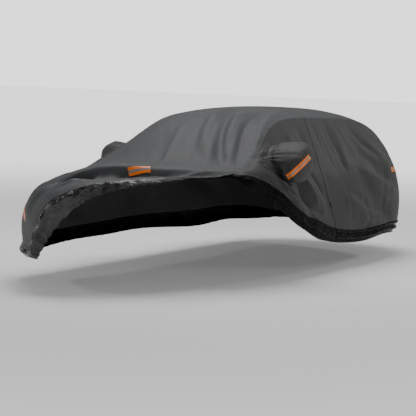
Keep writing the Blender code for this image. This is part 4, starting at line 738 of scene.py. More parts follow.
FOLD_LINES = fold_lines(FOLDS, FOLD_FADE)
CREASE_LINES = fold_lines(CREASES, CREASE_FADE)
POCKET_ROWS = named_rows(POCKETS, POCKET_COLUMNS)
MOUTHS = [base(row["panel"], row["run"], row["drop"])[0] for row in POCKET_ROWS]


def fold_height(points, lines, sharp=1.0):
    """Ridges and troughs, each fading towards its ends."""
    total = np.zeros(len(points))
    for fold, line, out, height in lines:
        reach = FOLD_REACH * max(fold["left_width"], fold["right_width"])
        near = np.all((points > line.min(0) - reach) & (points < line.max(0) + reach), axis=1)
        if not near.any():
            continue
        gap, where, side = near_line(points[near], line, out)
        left_share = ease((side + 1) / 2)
        width = fold["right_width"] + (fold["left_width"] - fold["right_width"]) * left_share
        shape = np.exp(-(gap / width) ** (2 * sharp))
        total[near] += np.interp(where, np.arange(len(line)), height) * shape
    return total


def calm(points):
    """0 near a pocket's mouth and 1 away from both mouths."""
    share = np.ones(len(points))
    for middle in MOUTHS:
        away = np.linalg.norm(points - middle, axis=-1)
        share *= ease((away - MOUTH_CALM[0]) / (MOUTH_CALM[1] - MOUTH_CALM[0]))
    return share


def wrinkle_height(points):
    """Small wrinkles drawn out along one direction, in each part of the cover."""
    total = np.zeros(len(points))
    for wrinkle in named_rows(WRINKLES, WRINKLE_COLUMNS):
        middle = np.array(wrinkle["middle"]) - HANG_POINT
        share = np.clip(1 - np.linalg.norm((points - middle) / wrinkle["reach"], axis=1), 0, 1)
        near = np.nonzero(share)[0]
        if not len(near):
            continue
        along = np.array(wrinkle["along"], float)
        along /= np.linalg.norm(along)
        local = points[near] / wrinkle["wide"]
        stretch = 1 / wrinkle["long"] - 1 / wrinkle["wide"]
        local += np.outer(points[near] @ along, along) * stretch
        waves = np.array([noise.noise(Vector(place)) for place in local])
        waves = WRINKLE_RIDGE * (1 - 2 * np.abs(waves)) + (1 - WRINKLE_RIDGE) * waves
        total[near] += wrinkle["height"] * waves * ease(2 * share[near])
    return total


def cloth(panel, run, side, finely=True):
    """Place on the folded cloth and its outward direction."""
    place, out = base(panel, run, side)
    points = place.reshape(-1, 3)
    lift = roll_height(points) + fold_height(points, FOLD_LINES) * calm(points)
    if finely:
        lift += fold_height(points, CREASE_LINES, CREASE_SHARPNESS) * crease_share()
        lift += wrinkle_height(points) * crease_share()
    return place + out * lift.reshape(place.shape[:-1])[..., None], out


# ---------------------------------------------------------------- grids of the panels
def seam_steps(count, length):
    """0 to 1 in even steps, with the seams' own lines close to both ends."""
    lines = np.array(SEAM_LINES) / length
    even = np.linspace(0, 1, count + 1)
    clear = lines[-1] * SEAM_CLEAR
    even = even[(even > clear) & (even < 1 - clear)]
    return np.concatenate([[0], lines, even, 1 - lines[::-1], [1]])


DROP_STEPS = seam_steps(SIDE_CELLS, SIDE_DEPTH)
ZIP_HALF = ZIP_CHAIN_WIDTH / 2 + ZIP_TAPE_WIDTH


def row_shares():
    """Shares of the rows from the front edge to the tail's corner, with the corner's and
    the zip's places among them.
    """
    right_first = front_panel_run(-1)
    left_first = front_panel_run(1)
    nose_share = (NOSE_CORNER - right_first) / (TAIL_CORNER - right_first)
    zip_share = (zip_run(0) - left_first) / (TAIL_CORNER - left_first)
    nose = nose_share * (1 - DROP_STEPS[::-1])
    length = TAIL_CORNER - right_first
    front = seam_steps(FRONT_CELLS, (zip_share - nose_share) * length)
    rear = seam_steps(REAR_CELLS, (1 - zip_share) * length)
    front = nose_share + (zip_share - nose_share) * front
    rear = zip_share + (1 - zip_share) * rear
    shares = np.concatenate([nose, front[1:], rear[1:]])
    return shares, len(nose) - 1, len(nose) + len(front) - 2


ROW_SHARES, NOSE_ROW, ZIP_ROW = row_shares()


def row_runs(first):
    return first + (TAIL_CORNER - first) * ROW_SHARES


def across_steps():
    """Places across the centre panel, closer together on its folded left half."""
    lines = np.array(SEAM_LINES) / SECTION_VALUES[0, 2]
    even = 1 - 2 * np.linspace(1, 0, ACROSS_CELLS + 1) ** ACROSS_POWER
    even = even[np.abs(even) < 1 - lines[-1] * SEAM_CLEAR]
    return np.concatenate([[-1], -1 + lines, even, 1 - lines[::-1], [1]])


def centre_grid():
    """Runs and places across for the centre panel, with the tail's rows at the end."""
    across = across_steps()
    top = np.array([row_runs(front_panel_run(v)) for v in across]).T
    tail_end = (RUN_END - TAIL_CORNER) * TAIL_DROP
    tail = TAIL_CORNER + tail_end * DROP_STEPS[1:, None]
    runs = np.concatenate([top, np.broadcast_to(tail, (len(tail), len(across)))])
    return runs, np.broadcast_to(across, runs.shape)


def right_grid():
    """Runs and drops for the right side."""
    runs = row_runs(front_panel_run(-1))[NOSE_ROW:]
    drops = right_panel_drop(runs)[:, None] * DROP_STEPS
    return np.broadcast_to(runs[:, None], drops.shape), drops


def left_grid():
    """Runs and drops for the whole left side, with one column on the zip."""
    runs = row_runs(front_panel_run(1))
    zip_at = zip_run(0)
    pull = np.where(runs < zip_at, (runs - runs[0]) / (zip_at - runs[0]),
                    (runs[-1] - runs) / (runs[-1] - zip_at))
    low_runs = runs + pull * (zip_run(ZIP_LINE[-2][0]) - zip_at)
    drops = left_panel_drop(low_runs)[:, None] * DROP_STEPS
    return runs[:, None] + pull[:, None] * (zip_run(drops) - zip_at), drops


def step_in(places, axis, end, gap):
    """Move one edge of a grid inwards, along the grid's own lines."""
    lines = np.moveaxis(places, axis, 0)
    edge, inner = (0, 1) if end == 0 else (-1, -2)
    step = lines[inner] - lines[edge]
    room = STEP_LIMIT * np.linalg.norm(step, axis=-1, keepdims=True)
    lines[edge] += np.minimum(np.reshape(gap, (-1, 1)), room) * unit(step)


def seam_gaps(edge, inner, other_inner, out):
    """How far each of two cloths steps back from their seam, along its own grid lines.

    The gap is wider where the thick cloths fold towards each other.
    """
    along = unit(np.gradient(edge, axis=0))
    aims = [unit(inner - edge), unit(other_inner - edge)]
    aims = [aim - along * np.sum(aim * along, axis=-1, keepdims=True) for aim in aims]
    fold = np.sum((unit(aims[0]) + unit(aims[1])) * out, axis=-1) / 2
    fold = np.clip(fold, 0, FOLD_LIMIT)
    half = SEWN_GAP / 2 + CLOTH * fold / np.sqrt(1 - fold ** 2)
    return [half / np.maximum(np.linalg.norm(aim, axis=-1), FOLD_LIMIT) for aim in aims]


# ---------------------------------------------------------------- seams of the panels
def edge_reach(places, axis, end):
    """Distance of each place of a grid from one of its edges, along the grid's lines."""
    lines = np.moveaxis(places, axis, 0)
    if end:
        lines = lines[::-1]
    steps = np.linalg.norm(np.diff(lines, axis=0), axis=-1)
    reach = np.concatenate([np.zeros((1,) + steps.shape[1:]), np.cumsum(steps, axis=0)])
    if end:
        reach = reach[::-1]
    return np.moveaxis(reach, 0, axis)


def seam_facts(places, edges):
    """The nearest seam's distance, and the distance along it, at each place of a grid."""
    reach = np.full(places.shape[:2], np.inf)
    along = np.zeros(places.shape[:2])
    for axis, end in edges:
        gap = edge_reach(places, axis, end)
        closer = gap < reach
        reach[closer] = gap[closer]
        along[closer] = edge_reach(places, 1 - axis, 0)[closer]
    return reach, along


def seam_welt(reach, along):
    """The welt beside a seam, the groove on it and the puckers that its thread draws in."""
    groove = -GROOVE_DEPTH * np.exp(-(reach / GROOVE_WIDTH) ** 2)
    welt = WELT_HEIGHT * np.exp(-((reach - WELT_AT) / WELT_WIDTH) ** 2)
    turn = 2 * math.pi * along / PUCKER_PITCH
    waves = sum(height * np.sin(pace * turn + start) for height, pace, start in PUCKER_WAVES)
    return groove + welt + PUCKER_HEIGHT * waves * np.exp(-reach / PUCKER_REACH)


def sew(places, out, edges):
    """Lay the welts of a panel's seams on it, and give the facts for its stitches."""
    reach, along = seam_facts(places, edges)
    places += out * seam_welt(reach, along)[..., None]
    return reach, along


# ---------------------------------------------------------------- settings
class CoverSettings(bpy.types.PropertyGroup):
    """Sizes and colours of the cover's cloth."""

    creases: FloatProperty(
        name="Creases", default=1.0, min=0.0, max=1.5,
        description="How much of the small creases and wrinkles lies on the cloth")
    gathers: FloatProperty(
        name="Gathers", default=1.0, min=0.0, max=1.5,
        description="How much of their gathers the hem bands and pockets show")
    thickness: FloatProperty(
        name="Cloth thickness", default=CLOTH, min=0.001, max=0.003, unit="LENGTH",
        description="Thickness of the panels, bands and pockets")
    centre_colour: FloatVectorProperty(
        name="Centre cloth", default=(0.066, 0.068, 0.071), min=0.0, max=1.0, subtype="COLOR",
        description="Colour of the centre panel")
    # the cloth's own grey with painted shade: darker than the centre cloth, for the sides that
    # face away from the top light
    shaded_side_colour: FloatVectorProperty(
        name="Side cloth", default=(0.045, 0.048, 0.045), min=0.0, max=1.0, subtype="COLOR",
        description="Colour of the side panels and pockets")
    band_colour: FloatVectorProperty(
        name="Band cloth", default=(0.005, 0.005, 0.006), min=0.0, max=1.0, subtype="COLOR",
        description="Colour of the shiny hem bands")
    strip_colour: FloatVectorProperty(
        name="Strip", default=(1.000, 0.200, 0.000), min=0.0, max=1.0, subtype="COLOR",
        description="Colour of the bright strips' edges")
    strip_middle: FloatVectorProperty(
        name="Strip middle", default=(0.260, 0.255, 0.240), min=0.0, max=1.0, subtype="COLOR",
        description="Colour of the grey line along the bright strips")
    zip_colour: FloatVectorProperty(
        name="Zip", default=(0.003, 0.003, 0.003), min=0.0, max=1.0, subtype="COLOR",
        description="Colour of the zip's tapes, teeth and slider")
    light: FloatProperty(
        name="Light", default=1.0, min=0.1, max=4.0,
        description="Strength of the studio's lamps")


def settings():
    return bpy.context.scene.car_cover


def crease_share():
    return settings().creases


# ---------------------------------------------------------------- materials
def feed(tree, node, sockets):
    """Give a node's inputs their constant values and the links into them."""
    for key, value in dict(sockets).items():
        if isinstance(value, bpy.types.NodeSocket):
            tree.links.new(value, node.inputs[key])
        else:
            node.inputs[key].default_value = value
    return node


def add_node(tree, kind, sockets=(), **facts):
    """A shader node with its settings and its inputs."""
    node = tree.nodes.new(kind)
    for name, value in facts.items():
        setattr(node, name, value)
    return feed(tree, node, sockets)


def maths(tree, operation, *values):
    return add_node(tree, "ShaderNodeMath", enumerate(values), operation=operation).outputs[0]


def object_place(tree):
    return add_node(tree, "ShaderNodeTexCoord").outputs["Object"]


def flat_place(tree):
    """The piece's own flat sizes, along it and across it, from its UV map."""
    flat = add_node(tree, "ShaderNodeUVMap", uv_map="flat")
    return add_node(tree, "ShaderNodeSeparateXYZ", {0: flat.outputs[0]}).outputs


def clouds(tree, scale, **more):
    """Noise over the piece, 0 to 1."""
    sockets = {"Vector": object_place(tree), "Scale": scale, **more}
    return add_node(tree, "ShaderNodeTexNoise", sockets).outputs["Fac"]


def blend(tree, share, first, second):
    """The first colour where the share is 0, and the second where it is 1."""
    return add_node(tree, "ShaderNodeMix", {0: share, 6: first, 7: second},
                    data_type="RGBA").outputs[2]


def ranged(tree, value, start, end, **facts):
    """A value brought from the start's range into the end's."""
    sockets = {"Value": value, "From Min": start[0], "From Max": start[1],
               "To Min": end[0], "To Max": end[1]}
    return add_node(tree, "ShaderNodeMapRange", sockets, **facts).outputs[0]


def bump(tree, height, strength, distance):
    return add_node(tree, "ShaderNodeBump", {"Height": height, "Strength": strength,
                                             "Distance": distance}).outputs[0]


def start_material(name, colour, roughness, specular=0.5):
    material = bpy.data.materials.new(name)
    material.use_nodes = True
    tree = material.node_tree
    shader = feed(tree, tree.nodes["Principled BSDF"],
                  {"Base Color": (*colour, 1.0), "Roughness": roughness,
                   "Specular IOR Level": specular})
    return material, tree, shader


def woven(tree, pitch):
    """The height of a weave of that pitch."""
    turn = 2 * math.pi / pitch
    warp, weft = (maths(tree, "SINE", maths(tree, "MULTIPLY", place, turn))
                  for place in list(flat_place(tree))[:2])
    return maths(tree, "MULTIPLY", warp, weft)


def stitches(tree):
    """1 on each stitch of the line beside a seam, and 0 between them."""
    seam = add_node(tree, "ShaderNodeAttribute", attribute_name="seam").outputs["Fac"]
    along = add_node(tree, "ShaderNodeAttribute", attribute_name="along").outputs["Fac"]
    line = maths(tree, "COMPARE", seam, STITCH_AT, STITCH_WIDTH)
    turn = maths(tree, "FRACT", maths(tree, "DIVIDE", along, STITCH_PITCH))
    return maths(tree, "MULTIPLY", line, maths(tree, "LESS_THAN", turn, STITCH_SHARE))


def cloth_material(name, colour, thread):
    """Matt woven cloth with stitches beside its seams and slightly uneven in colour."""
    material, tree, shader = start_material(name, colour, 0.62, 0.30)
    low, high = ([share * value for value in colour] + [1.0] for share in (0.90, 1.10))
    tone = blend(tree, clouds(tree, 2.2, Detail=5.0), low, high)
    stitch = stitches(tree)
    height = maths(tree, "MULTIPLY_ADD", woven(tree, CLOTH_WEAVE), 0.6, clouds(tree, 420.0))
    height = maths(tree, "MULTIPLY_ADD", stitch, 4.0, height)
    feed(tree, shader, {"Base Color": blend(tree, stitch, tone, (*thread, 1.0)),
                        "Normal": bump(tree, height, 0.5, 0.0002)})
    return material


def band_material(name, colour):
    """Thin crinkled coated cloth, with painted highlights on the nose and painted shade behind."""
    material, tree, shader = start_material(name, colour, 0.30)
    bends = clouds(tree, 11.0, Detail=2.0, Distortion=2.2)
    fine = clouds(tree, 120.0, Detail=3.0, Distortion=0.6)
    # the place along Y, over which the shine falls from painted highlights on the nose to painted
    # shade behind
    back = add_node(tree, "ShaderNodeSeparateXYZ", {0: object_place(tree)}).outputs[1]
    height = maths(tree, "MULTIPLY_ADD", fine, 0.25, bends)
    feed(tree, shader, {"Normal": bump(tree, height, 0.5, 0.030),
                        "Roughness": ranged(tree, bends, (0.0, 1.0), (0.12, 0.30)),
                        "Specular IOR Level": ranged(tree, back, SHINE_SHADED_FROM, BAND_SHINE_PAINTED)})
    return material


def strip_material(name, edge, middle):
    """Bright tape with a grey line along its middle, which glitters a little."""
    material, tree, shader = start_material(name, edge, 0.42)
    line = maths(tree, "COMPARE", flat_place(tree)[1], STRIP_WIDTH / 2, STRIP_MIDDLE / 2)
    feed(tree, shader, {"Base Color": blend(tree, line, (*edge, 1.0), (*middle, 1.0)),
                        "Normal": bump(tree, woven(tree, STRIP_WEAVE), 0.35, 0.0002)})
    return material


def zip_material(name, colour):
    """Dull black nylon."""
    material, tree, shader = start_material(name, colour, 0.60, 0.12)
    feed(tree, shader, {"Normal": bump(tree, clouds(tree, 600.0), 0.2, 0.0001)})
    return material


FINISHES = {}


def finish_named(name):
    """The material of one of the record's slots, made when it is first asked for."""
    look = settings()
    makers = {
        "panel_cloth": lambda: cloth_material("cover_panel", look.centre_colour, THREAD),
        "side_cloth": lambda: cloth_material("cover_side", look.shaded_side_colour, THREAD),
        "band_cloth": lambda: band_material("cover_band", look.band_colour),
        "strip_tape": lambda: strip_material("cover_strip", look.strip_colour,
                                             look.strip_middle),
        "zip_black": lambda: zip_material("cover_zip", look.zip_colour),
    }
    if name not in FINISHES:
        FINISHES[name] = makers[name]()
    return FINISHES[name]


# ---------------------------------------------------------------- making the pieces
def put_in_scene(name, data):
    thing = bpy.data.objects.new(name, data)
    bpy.context.scene.collection.objects.link(thing)
    return thing


def add_object(name, maker, material):
    """A piece from a bmesh, with its material."""
    mesh = bpy.data.meshes.new(name)
    maker.to_mesh(mesh)
    maker.free()
    mesh.shade_smooth()
    mesh.materials.append(material)
    return put_in_scene(name, mesh)


def add_thickness(thing, thickness, offset=1.0):
    solidify = thing.modifiers.new("thickness", "SOLIDIFY")
    solidify.thickness = thickness
    solidify.offset = offset


def settle(thing):
    """Make what the modifiers give the piece's own mesh, with its rims sharp."""
    graph = bpy.context.evaluated_depsgraph_get()
    mesh = bpy.data.meshes.new_from_object(thing.evaluated_get(graph),
                                           preserve_all_data_layers=True, depsgraph=graph)
    old = thing.data
    thing.modifiers.clear()
    thing.data = mesh
    bpy.data.meshes.remove(old)
    mesh.set_sharp_from_angle(angle=RIM_ANGLE)


def declare(thing, node):
    """Hang a piece on the body and hide the solid that it stands for."""
    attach(thing, BODY)
    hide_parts(node)


def flat_sizes(places):
    """Each place's distance along its column and along its row, for the piece's UV map."""
    return np.stack([edge_reach(places, 0, 0), edge_reach(places, 1, 0)], -1)


def add_sheet(name, places, outward, slot, facts=None):
    """A flat grid laid on its places, (columns, rows, 3), with its faces outwards."""
    columns, rows = places.shape[:2]
    flat = flat_sizes(places)
    maker = bmesh.new()
    bmesh.ops.create_grid(maker, x_segments=columns - 1, y_segments=rows - 1, size=0.5)
    uv_layer = maker.loops.layers.uv.new("flat")
    layers = [maker.verts.layers.float.new(key) for key in ("seam", "along")]
    index = {}
    for vert in maker.verts:
        index[vert] = (round((vert.co.x + 0.5) * (columns - 1)),
                       round((vert.co.y + 0.5) * (rows - 1)))
        vert.co = places[index[vert]]
        for layer, values in zip(layers, facts or (flat[..., 1] + 1, flat[..., 0])):
            vert[layer] = values[index[vert]]
    for face in maker.faces:
        for loop in face.loops:
            loop[uv_layer].uv = flat[index[loop.vert]]
    maker.normal_update()
    if sum(vert.normal.dot(outward[at]) for vert, at in index.items()) < 0:
        bmesh.ops.reverse_faces(maker, faces=maker.faces)
    return add_object(name, maker, finish_named(slot))


def add_cloth(name, places, outward, slot, thickness=None, facts=None):
    thing = add_sheet("cover_" + name, places, outward, slot, facts)
    add_thickness(thing, thickness or settings().thickness)
    return thing


# ---------------------------------------------------------------- panels
CENTRE_EDGES = ((1, 0), (1, 1), (0, 0), (0, 1))
RIGHT_EDGES = ((1, 0), (1, 1), (0, 0), (0, 1))
LEFT_EDGES = ((1, 0), (1, 1), (0, 1))


@lru_cache(maxsize=1)
def lay_panels(share):
    """The centre, right and left grids on the folded cloth, parted along their seams.

    The share is of the creases, so that a change of it lays them again.
    """
    laid = []
    for panel, grid, edges in (("centre", centre_grid(), CENTRE_EDGES),
                               ("right", right_grid(), RIGHT_EDGES),
                               ("left", left_grid(), LEFT_EDGES)):
        places, out = cloth(panel, *grid)
        laid.append((places, out, sew(places, out, edges)))
    centre, right, left = (places for places, _, _ in laid)

    inner = np.concatenate([right[1, :0:-1], right[:, 1], right[-2, 1:]])
    gaps, side_gaps = seam_gaps(centre[:, 0], centre[:, 1], inner, laid[0][1][:, 0])
    step_in(centre, 1, 0, gaps)
    step_in(right, 1, 0, side_gaps[NOSE_ROW:-NOSE_ROW])
    step_in(right, 0, 0, side_gaps[NOSE_ROW::-1])
    step_in(right, 0, 1, side_gaps[-NOSE_ROW - 1:])

    inner = np.concatenate([left[:, 1], left[-2, 1:]])
    gaps, side_gaps = seam_gaps(centre[:, -1], centre[:, -2], inner, laid[0][1][:, -1])
    step_in(centre, 1, 1, gaps)
    step_in(left, 1, 0, side_gaps[:-NOSE_ROW])
    step_in(left, 0, 1, side_gaps[-NOSE_ROW - 1:])
    return laid


def laid_panels():
    return lay_panels(crease_share())


def left_parts():
    """The left side's places, outwards and stitch facts, parted at the zip."""
    places, out, facts = laid_panels()[2]
    front = places[:ZIP_ROW + 1].copy()
    rear = places[ZIP_ROW:].copy()
    zip_half = ZIP_HALF + 2 * SEAM_GAP
    parts = []
    for part, cut, end in ((front, slice(None, ZIP_ROW + 1), 1), (rear, slice(ZIP_ROW, None), 0)):
        step_in(part, 0, end, zip_half)
        reach, along = seam_facts(part, ((0, end),))
        closer = reach < facts[0][cut]
        pair = (np.where(closer, reach, facts[0][cut]), np.where(closer, along, facts[1][cut]))
        parts.append((part, out[cut], pair))
    return parts


def make_panels():
    centre, right = laid_panels()[:2]
    front, rear = left_parts()
    for name, (places, out, facts), slot in (
            ("centre_panel", centre, "panel_cloth"), ("right_panel", right, "side_cloth"),
            ("left_front_panel", front, "side_cloth"), ("left_rear_panel", rear, "side_cloth")):
        panel = add_cloth(name, places, out, slot, facts=facts)
        for pocket in POCKET_ROWS:
            if pocket["on"] == name:
                cut_mouth(panel, pocket)
        settle(panel)
        declare(panel, name)
    for name in [thing.name for thing in bpy.data.objects if thing.name.endswith("_cutter")]:
        bpy.data.objects.remove(bpy.data.objects[name], do_unlink=True)


# ---------------------------------------------------------------- zip
def zip_strip(edge, inner, near, far):
    """A strip beside the zip's line, between two distances from it."""
    aim = unit(inner - edge)
    return np.stack([edge + near * aim, edge + far * aim])


def add_block(maker, centre, axes, size):
    """A small block with its own axes, added to a bmesh."""
    turn = Matrix([Vector(axis) for axis in axes]).transposed()
    place = Matrix.Translation(Vector(centre)) @ turn.to_4x4() @ Matrix.Diagonal((*size, 1.0))
    return bmesh.ops.create_cube(maker, size=1, matrix=place)["verts"]


def zip_axes(line, out, index):
    """Across, along and outwards at one place on the zip."""
    along = unit(line[index + 1] - line[index])
    face_out = unit(out[index] - along * (out[index] @ along))
    return np.cross(along, face_out), along, face_out


def make_teeth(chain, line, out):
    """Two rows of teeth that mesh along the chain, as one piece with its core."""
    settle(chain)
    maker = bmesh.new()
    maker.from_mesh(chain.data)
    length = lengths_along(line)[0]
    count = int(length[-1] / TOOTH_PITCH) - 1
    for number in range(2 * count):
        at = (number + 1) * TOOTH_PITCH / 2
        index = min(np.searchsorted(length, at) - 1, len(line) - 2)
        part = (at - length[index]) / (length[index + 1] - length[index])
        axes = zip_axes(line, out, index)
        side = 1 if number % 2 else -1
        centre = (line[index] * (1 - part) + line[index + 1] * part
                  + axes[0] * side * TOOTH_SIZE[0] * TOOTH_ASIDE
                  + axes[2] * (ZIP_CHAIN_THICK + TOOTH_SIZE[2] * TOOTH_OUT))
        add_block(maker, centre, axes, TOOTH_SIZE)
    maker.to_mesh(chain.data)
    maker.free()


def make_zip():
    """Two tapes, the chain and the slider, closed, from the roof seam to the hem band."""
    (front, out, _), (rear, _, _) = left_parts()
    out = out[-1]
    half = ZIP_CHAIN_WIDTH / 2
    reach = ZIP_HALF + 2 * SEAM_GAP
    line = (front[-1] + rear[0]) / 2
    for name, panel_edge in (("zip_tape_front", front[-1]), ("zip_tape_rear", rear[0])):
        tape = zip_strip(line, panel_edge, half + SEAM_GAP, reach - SEAM_GAP)
        piece = add_cloth(name, tape, np.stack([out, out]), "zip_black", TAPE)
        settle(piece)
        declare(piece, name)
    edges = [zip_strip(line, edge[at], 0, half)[1] for edge, at in ((front, -1), (rear, 0))]
    chain = add_cloth("zip_chain", np.stack(edges), np.stack([out, out]), "zip_black",
                      ZIP_CHAIN_THICK)
    make_teeth(chain, line, out)
    declare(chain, "zip_chain")
    make_slider(line, out)


def make_slider(line, out):
    """The slider on the chain and the pull that hangs from it."""
    index = int(SLIDER_DROP * (len(line) - 1))
    axes = zip_axes(line, out, index)
    lift = ZIP_CHAIN_THICK + TOOTH_SIZE[2] + PULL_GAP + SLIDER_SIZE[2] / 2
    slider = line[index] + axes[2] * lift
    drop = (SLIDER_SIZE[1] + PULL_SIZE[1]) / 2 + PULL_GAP
    for name, centre, size in (("zip_slider", slider, SLIDER_SIZE),
                               ("zip_pull", slider + axes[1] * drop, PULL_SIZE)):
        maker = bmesh.new()
        verts = add_block(maker, centre, axes, size)
        bmesh.ops.bevel(maker, geom=verts + maker.edges[:], offset=min(size) * BLOCK_BEVEL,
                        affect="EDGES", segments=3, profile=0.5, material=-1)
        piece = add_object("cover_" + name, maker, finish_named("zip_black"))
        declare(piece, name)


# ---------------------------------------------------------------- hem bands
def noise_at(*coordinates):
    """Soft noise at an array of places, each coordinate given as an array."""
    grid = np.broadcast_arrays(*coordinates)
    flat = np.stack([values.ravel() for values in grid], 1)
    return np.array([noise.noise(Vector(place)) for place in flat]).reshape(grid[0].shape)


def band_folds(width, along, ends, rolled, gathered, seed):
    """The gathers, crumples, casing and rolled layers of a band, for its whole grid."""
    share = np.linspace(0, 1, BAND_ROWS + 1)[None, :]
    long, slant, height = FINE_GATHER
    turn = along[:, None] / long + slant * share / long * width[:, None]
    growth = GATHER_START + (1 - GATHER_START) * share
    gathers = height * noise_at(turn, GATHER_BEND * share, seed) * growth
    size, rise = CRUMPLE
    broad = ease((width - CRUMPLE_FROM[0]) / (CRUMPLE_FROM[1] - CRUMPLE_FROM[0]))
    broad = broad[:, None]
    down = share * width[:, None] / size
    slanted = along[:, None] / size + down
    crumple = 1 - 2 * np.abs(noise_at(slanted, down * CRUMPLE_CROSS, seed + CRUMPLE_SEED))
    crumple = rise * broad * crumple * np.sin(math.pi * np.clip(share * CRUMPLE_SPREAD, 0, 1))
    gathers, crumple = gathers * gathered[:, None], crumple * gathered[:, None]
    from_hem = width[:, None] * (1 - share)
    casing = CASING_HEIGHT * np.exp(-((from_hem - CASING_AT) / CASING_WIDTH) ** 2)
    layers = rolled[:, None] * LAYER_HEIGHT * np.sin(2 * math.pi * LAYERS * share)
    fade = ease(ends / BAND_END)[:, None] * ease(share / BAND_ROOT)
    folds = settings().gathers * fade * (gathers + crumple + layers)
    return folds + casing * ease(share / CASING_ROOT)


def add_band(name, edges, outs, hem, seed, bulge=LOW_BULGE, rolled=0.0, gathered=1.0):
    """A gathered band from the panels' edges to its hem, with the elastic's waves."""
    top, out = (np.concatenate([split(line, BAND_SPLIT) for line in lines])
                for lines in (edges, outs))
    out = unit(out)
    rolled, gathered = (np.broadcast_to(share, len(hem)) for share in (rolled, gathered))
    along, ends = lengths_along(hem)
    turn = along / GATHER_PITCH + noise_at(along / (2 * GATHER_PITCH), seed, 0.5)
    wave = (GATHER_HEIGHT * gathered * ease(ends / GATHER_PITCH)
            * np.sin(2 * math.pi * turn))
    top = top + BAND_GAP * unit(hem - top)
    width = np.linalg.norm(hem - top, axis=1)
    bulge = np.minimum(bulge, BULGE_SHARE * width)
    folds = band_folds(width, along, ends, rolled, gathered, seed)
    share = np.linspace(0, 1, BAND_ROWS + 1)[None, :]
    lift = bulge[:, None] * np.sin(math.pi * share) + wave[:, None] * share + folds
    share = share[..., None]
    places = top[:, None] * (1 - share) + hem[:, None] * share + out[:, None] * lift[..., None]
    outward = np.repeat(out[:, None], BAND_ROWS + 1, axis=1)
    band = add_cloth(name, places, outward, "band_cloth")
    settle(band)
    declare(band, name)


def band_hem(panel, run, side, offset):
    """The hem's places, set out from the form by an offset (inwards where negative)."""
    place, out = base(panel, run, side)
    return place + out * offset[:, None]


def left_hem(run):
    """The left hem, turned out ahead of the zip and drawn in behind it."""
    offset = HEM_LIFT - (HEM_LIFT + HEM_TUCK) * ease((run - TUCK_FROM) / TUCK_OVER)
    return band_hem("left", left_hem_run(run), left_hem_drop(run), offset)


def low_edge(own, other, zip_end):
    """A left part's low edge, drawn out at the zip until it nearly meets the other part's."""
    edge = own[:, -1].copy()
    edge[zip_end] = (own[zip_end, -1] + other[-1 - zip_end, -1]) / 2
    edge[zip_end] += unit(own[zip_end, -1] - edge[zip_end]) * SEAM_GAP / 2
    return edge


def front_band():
    """The turned-back band: along the lifted edge and down the left side to the zip."""
    centre, centre_out, _ = laid_panels()[0]
    (front, front_out, _), (rear, _, _) = left_parts()
    across = split(across_steps(), BAND_SPLIT)
    lift = HEM_LIFT * ease((across + 1) / CORNER_FADE)
    runs = split(left_grid()[0][:ZIP_ROW + 1, -1], BAND_SPLIT)
    hem = np.concatenate([
        band_hem("centre", front_hem_run(across), front_hem_across(across), lift),
        left_hem(runs)])
    rolled = np.concatenate([np.zeros(len(across)), ease((runs - ROLLED_FROM) / ROLLED_OVER)])
    smooth = ease((across - GATHERED[0]) / (GATHERED[1] - GATHERED[0]))
    gathered = 1 - (1 - SMOOTH_BAND) * np.concatenate([smooth, np.ones(len(runs))])
    column = np.arange(len(hem))
    ends = np.minimum(column, column[::-1]) / (BULGE_COLUMNS * BAND_SPLIT)
    bulge = LOW_BULGE + (FRONT_BULGE - LOW_BULGE) * ease(ends)
    add_band("hem_band_front", (centre[0], low_edge(front, rear, -1)),
             (centre_out[0], front_out[:, -1]), hem, 3.0, bulge, rolled, gathered)


def left_band():
    """The rolled band from the zip to the tail's corner."""
    (front, _, _), (rear, rear_out, _) = left_parts()
    hem = left_hem(split(left_grid()[0][ZIP_ROW:, -1], BAND_SPLIT))
    add_band("hem_band_left", (low_edge(rear, front, 0),), (rear_out[:, -1],), hem, 11.0,
             rolled=1.0, gathered=SMOOTH_BAND)


def tail_band():
    """The tail's band, from the right panel's corner to the left one's."""
    centre, centre_out, _ = laid_panels()[0]
    across = split(across_steps(), BAND_SPLIT)
    hem = band_hem("centre", np.full(len(across), RUN_END), across,
                   np.full(len(across), -HEM_TUCK))
    edge = centre[-1].copy()
    edge[0] = laid_panels()[1][0][-1, -1]
    add_band("hem_band_tail", (edge,), (centre_out[-1],), hem, 19.0)


def right_band():
    """The right side's band, from the nose to the tail."""
    right, right_out, _ = laid_panels()[1]
    runs = split(right_grid()[0][:, -1], BAND_SPLIT)
    tuck = -HEM_TUCK * ease((runs - NOSE_CORNER) / TUCK_OVER)
    hem = band_hem("right", runs, np.ones(len(runs)), tuck)
    add_band("hem_band_right", (right[:, -1],), (right_out[:, -1],), hem, 27.0)


# ---------------------------------------------------------------- mirror pockets
BAG_SHARES, *BAG_SIZES = named_columns(BAG, BAG_COLUMNS).values()
BAG_CURVES = [edge_curve(BAG_SHARES, sizes) for sizes in BAG_SIZES]


def mouth(pocket, angle):
    """Places on the edge of a pocket's mouth, and its middle."""
    back, up = (np.sign(turn) * np.abs(turn) ** (2 / MOUTH_SQUARE)
                for turn in (np.cos(angle), np.sin(angle)))
    rim = cloth(pocket["panel"], pocket["run"] + pocket["half_run"] * back,
                pocket["drop"] - pocket["half_drop"] * up)[0]
    middle = cloth(pocket["panel"], np.array(pocket["run"]), np.array(pocket["drop"]))[0]
    return rim, middle


def bag_folds(angle, share):
    """Pleats round a pocket's root and sags towards its tip, as shares of its size."""
    wave = np.sin(BAG_PLEATS * angle + 2.0 * np.sin(2 * angle + 0.7))
    wave = wave + 0.5 * np.sin(1.6 * BAG_PLEATS * angle + 1.3)
    fade = ease(share / PLEAT_START) * np.exp(-(share / PLEAT_REACH) ** 2)
    round_it, out = SAG_SIZE
    sag = noise_at(round_it * np.cos(angle), round_it * np.sin(angle), out * share)
    sag = SAG_HEIGHT * (1 - 2 * np.abs(sag)) * ease(share / SAG_FADE[0])
    sag = sag * ease((1 - share) / SAG_FADE[1])
    return settings().gathers * (PLEAT_HEIGHT * wave * fade + sag)


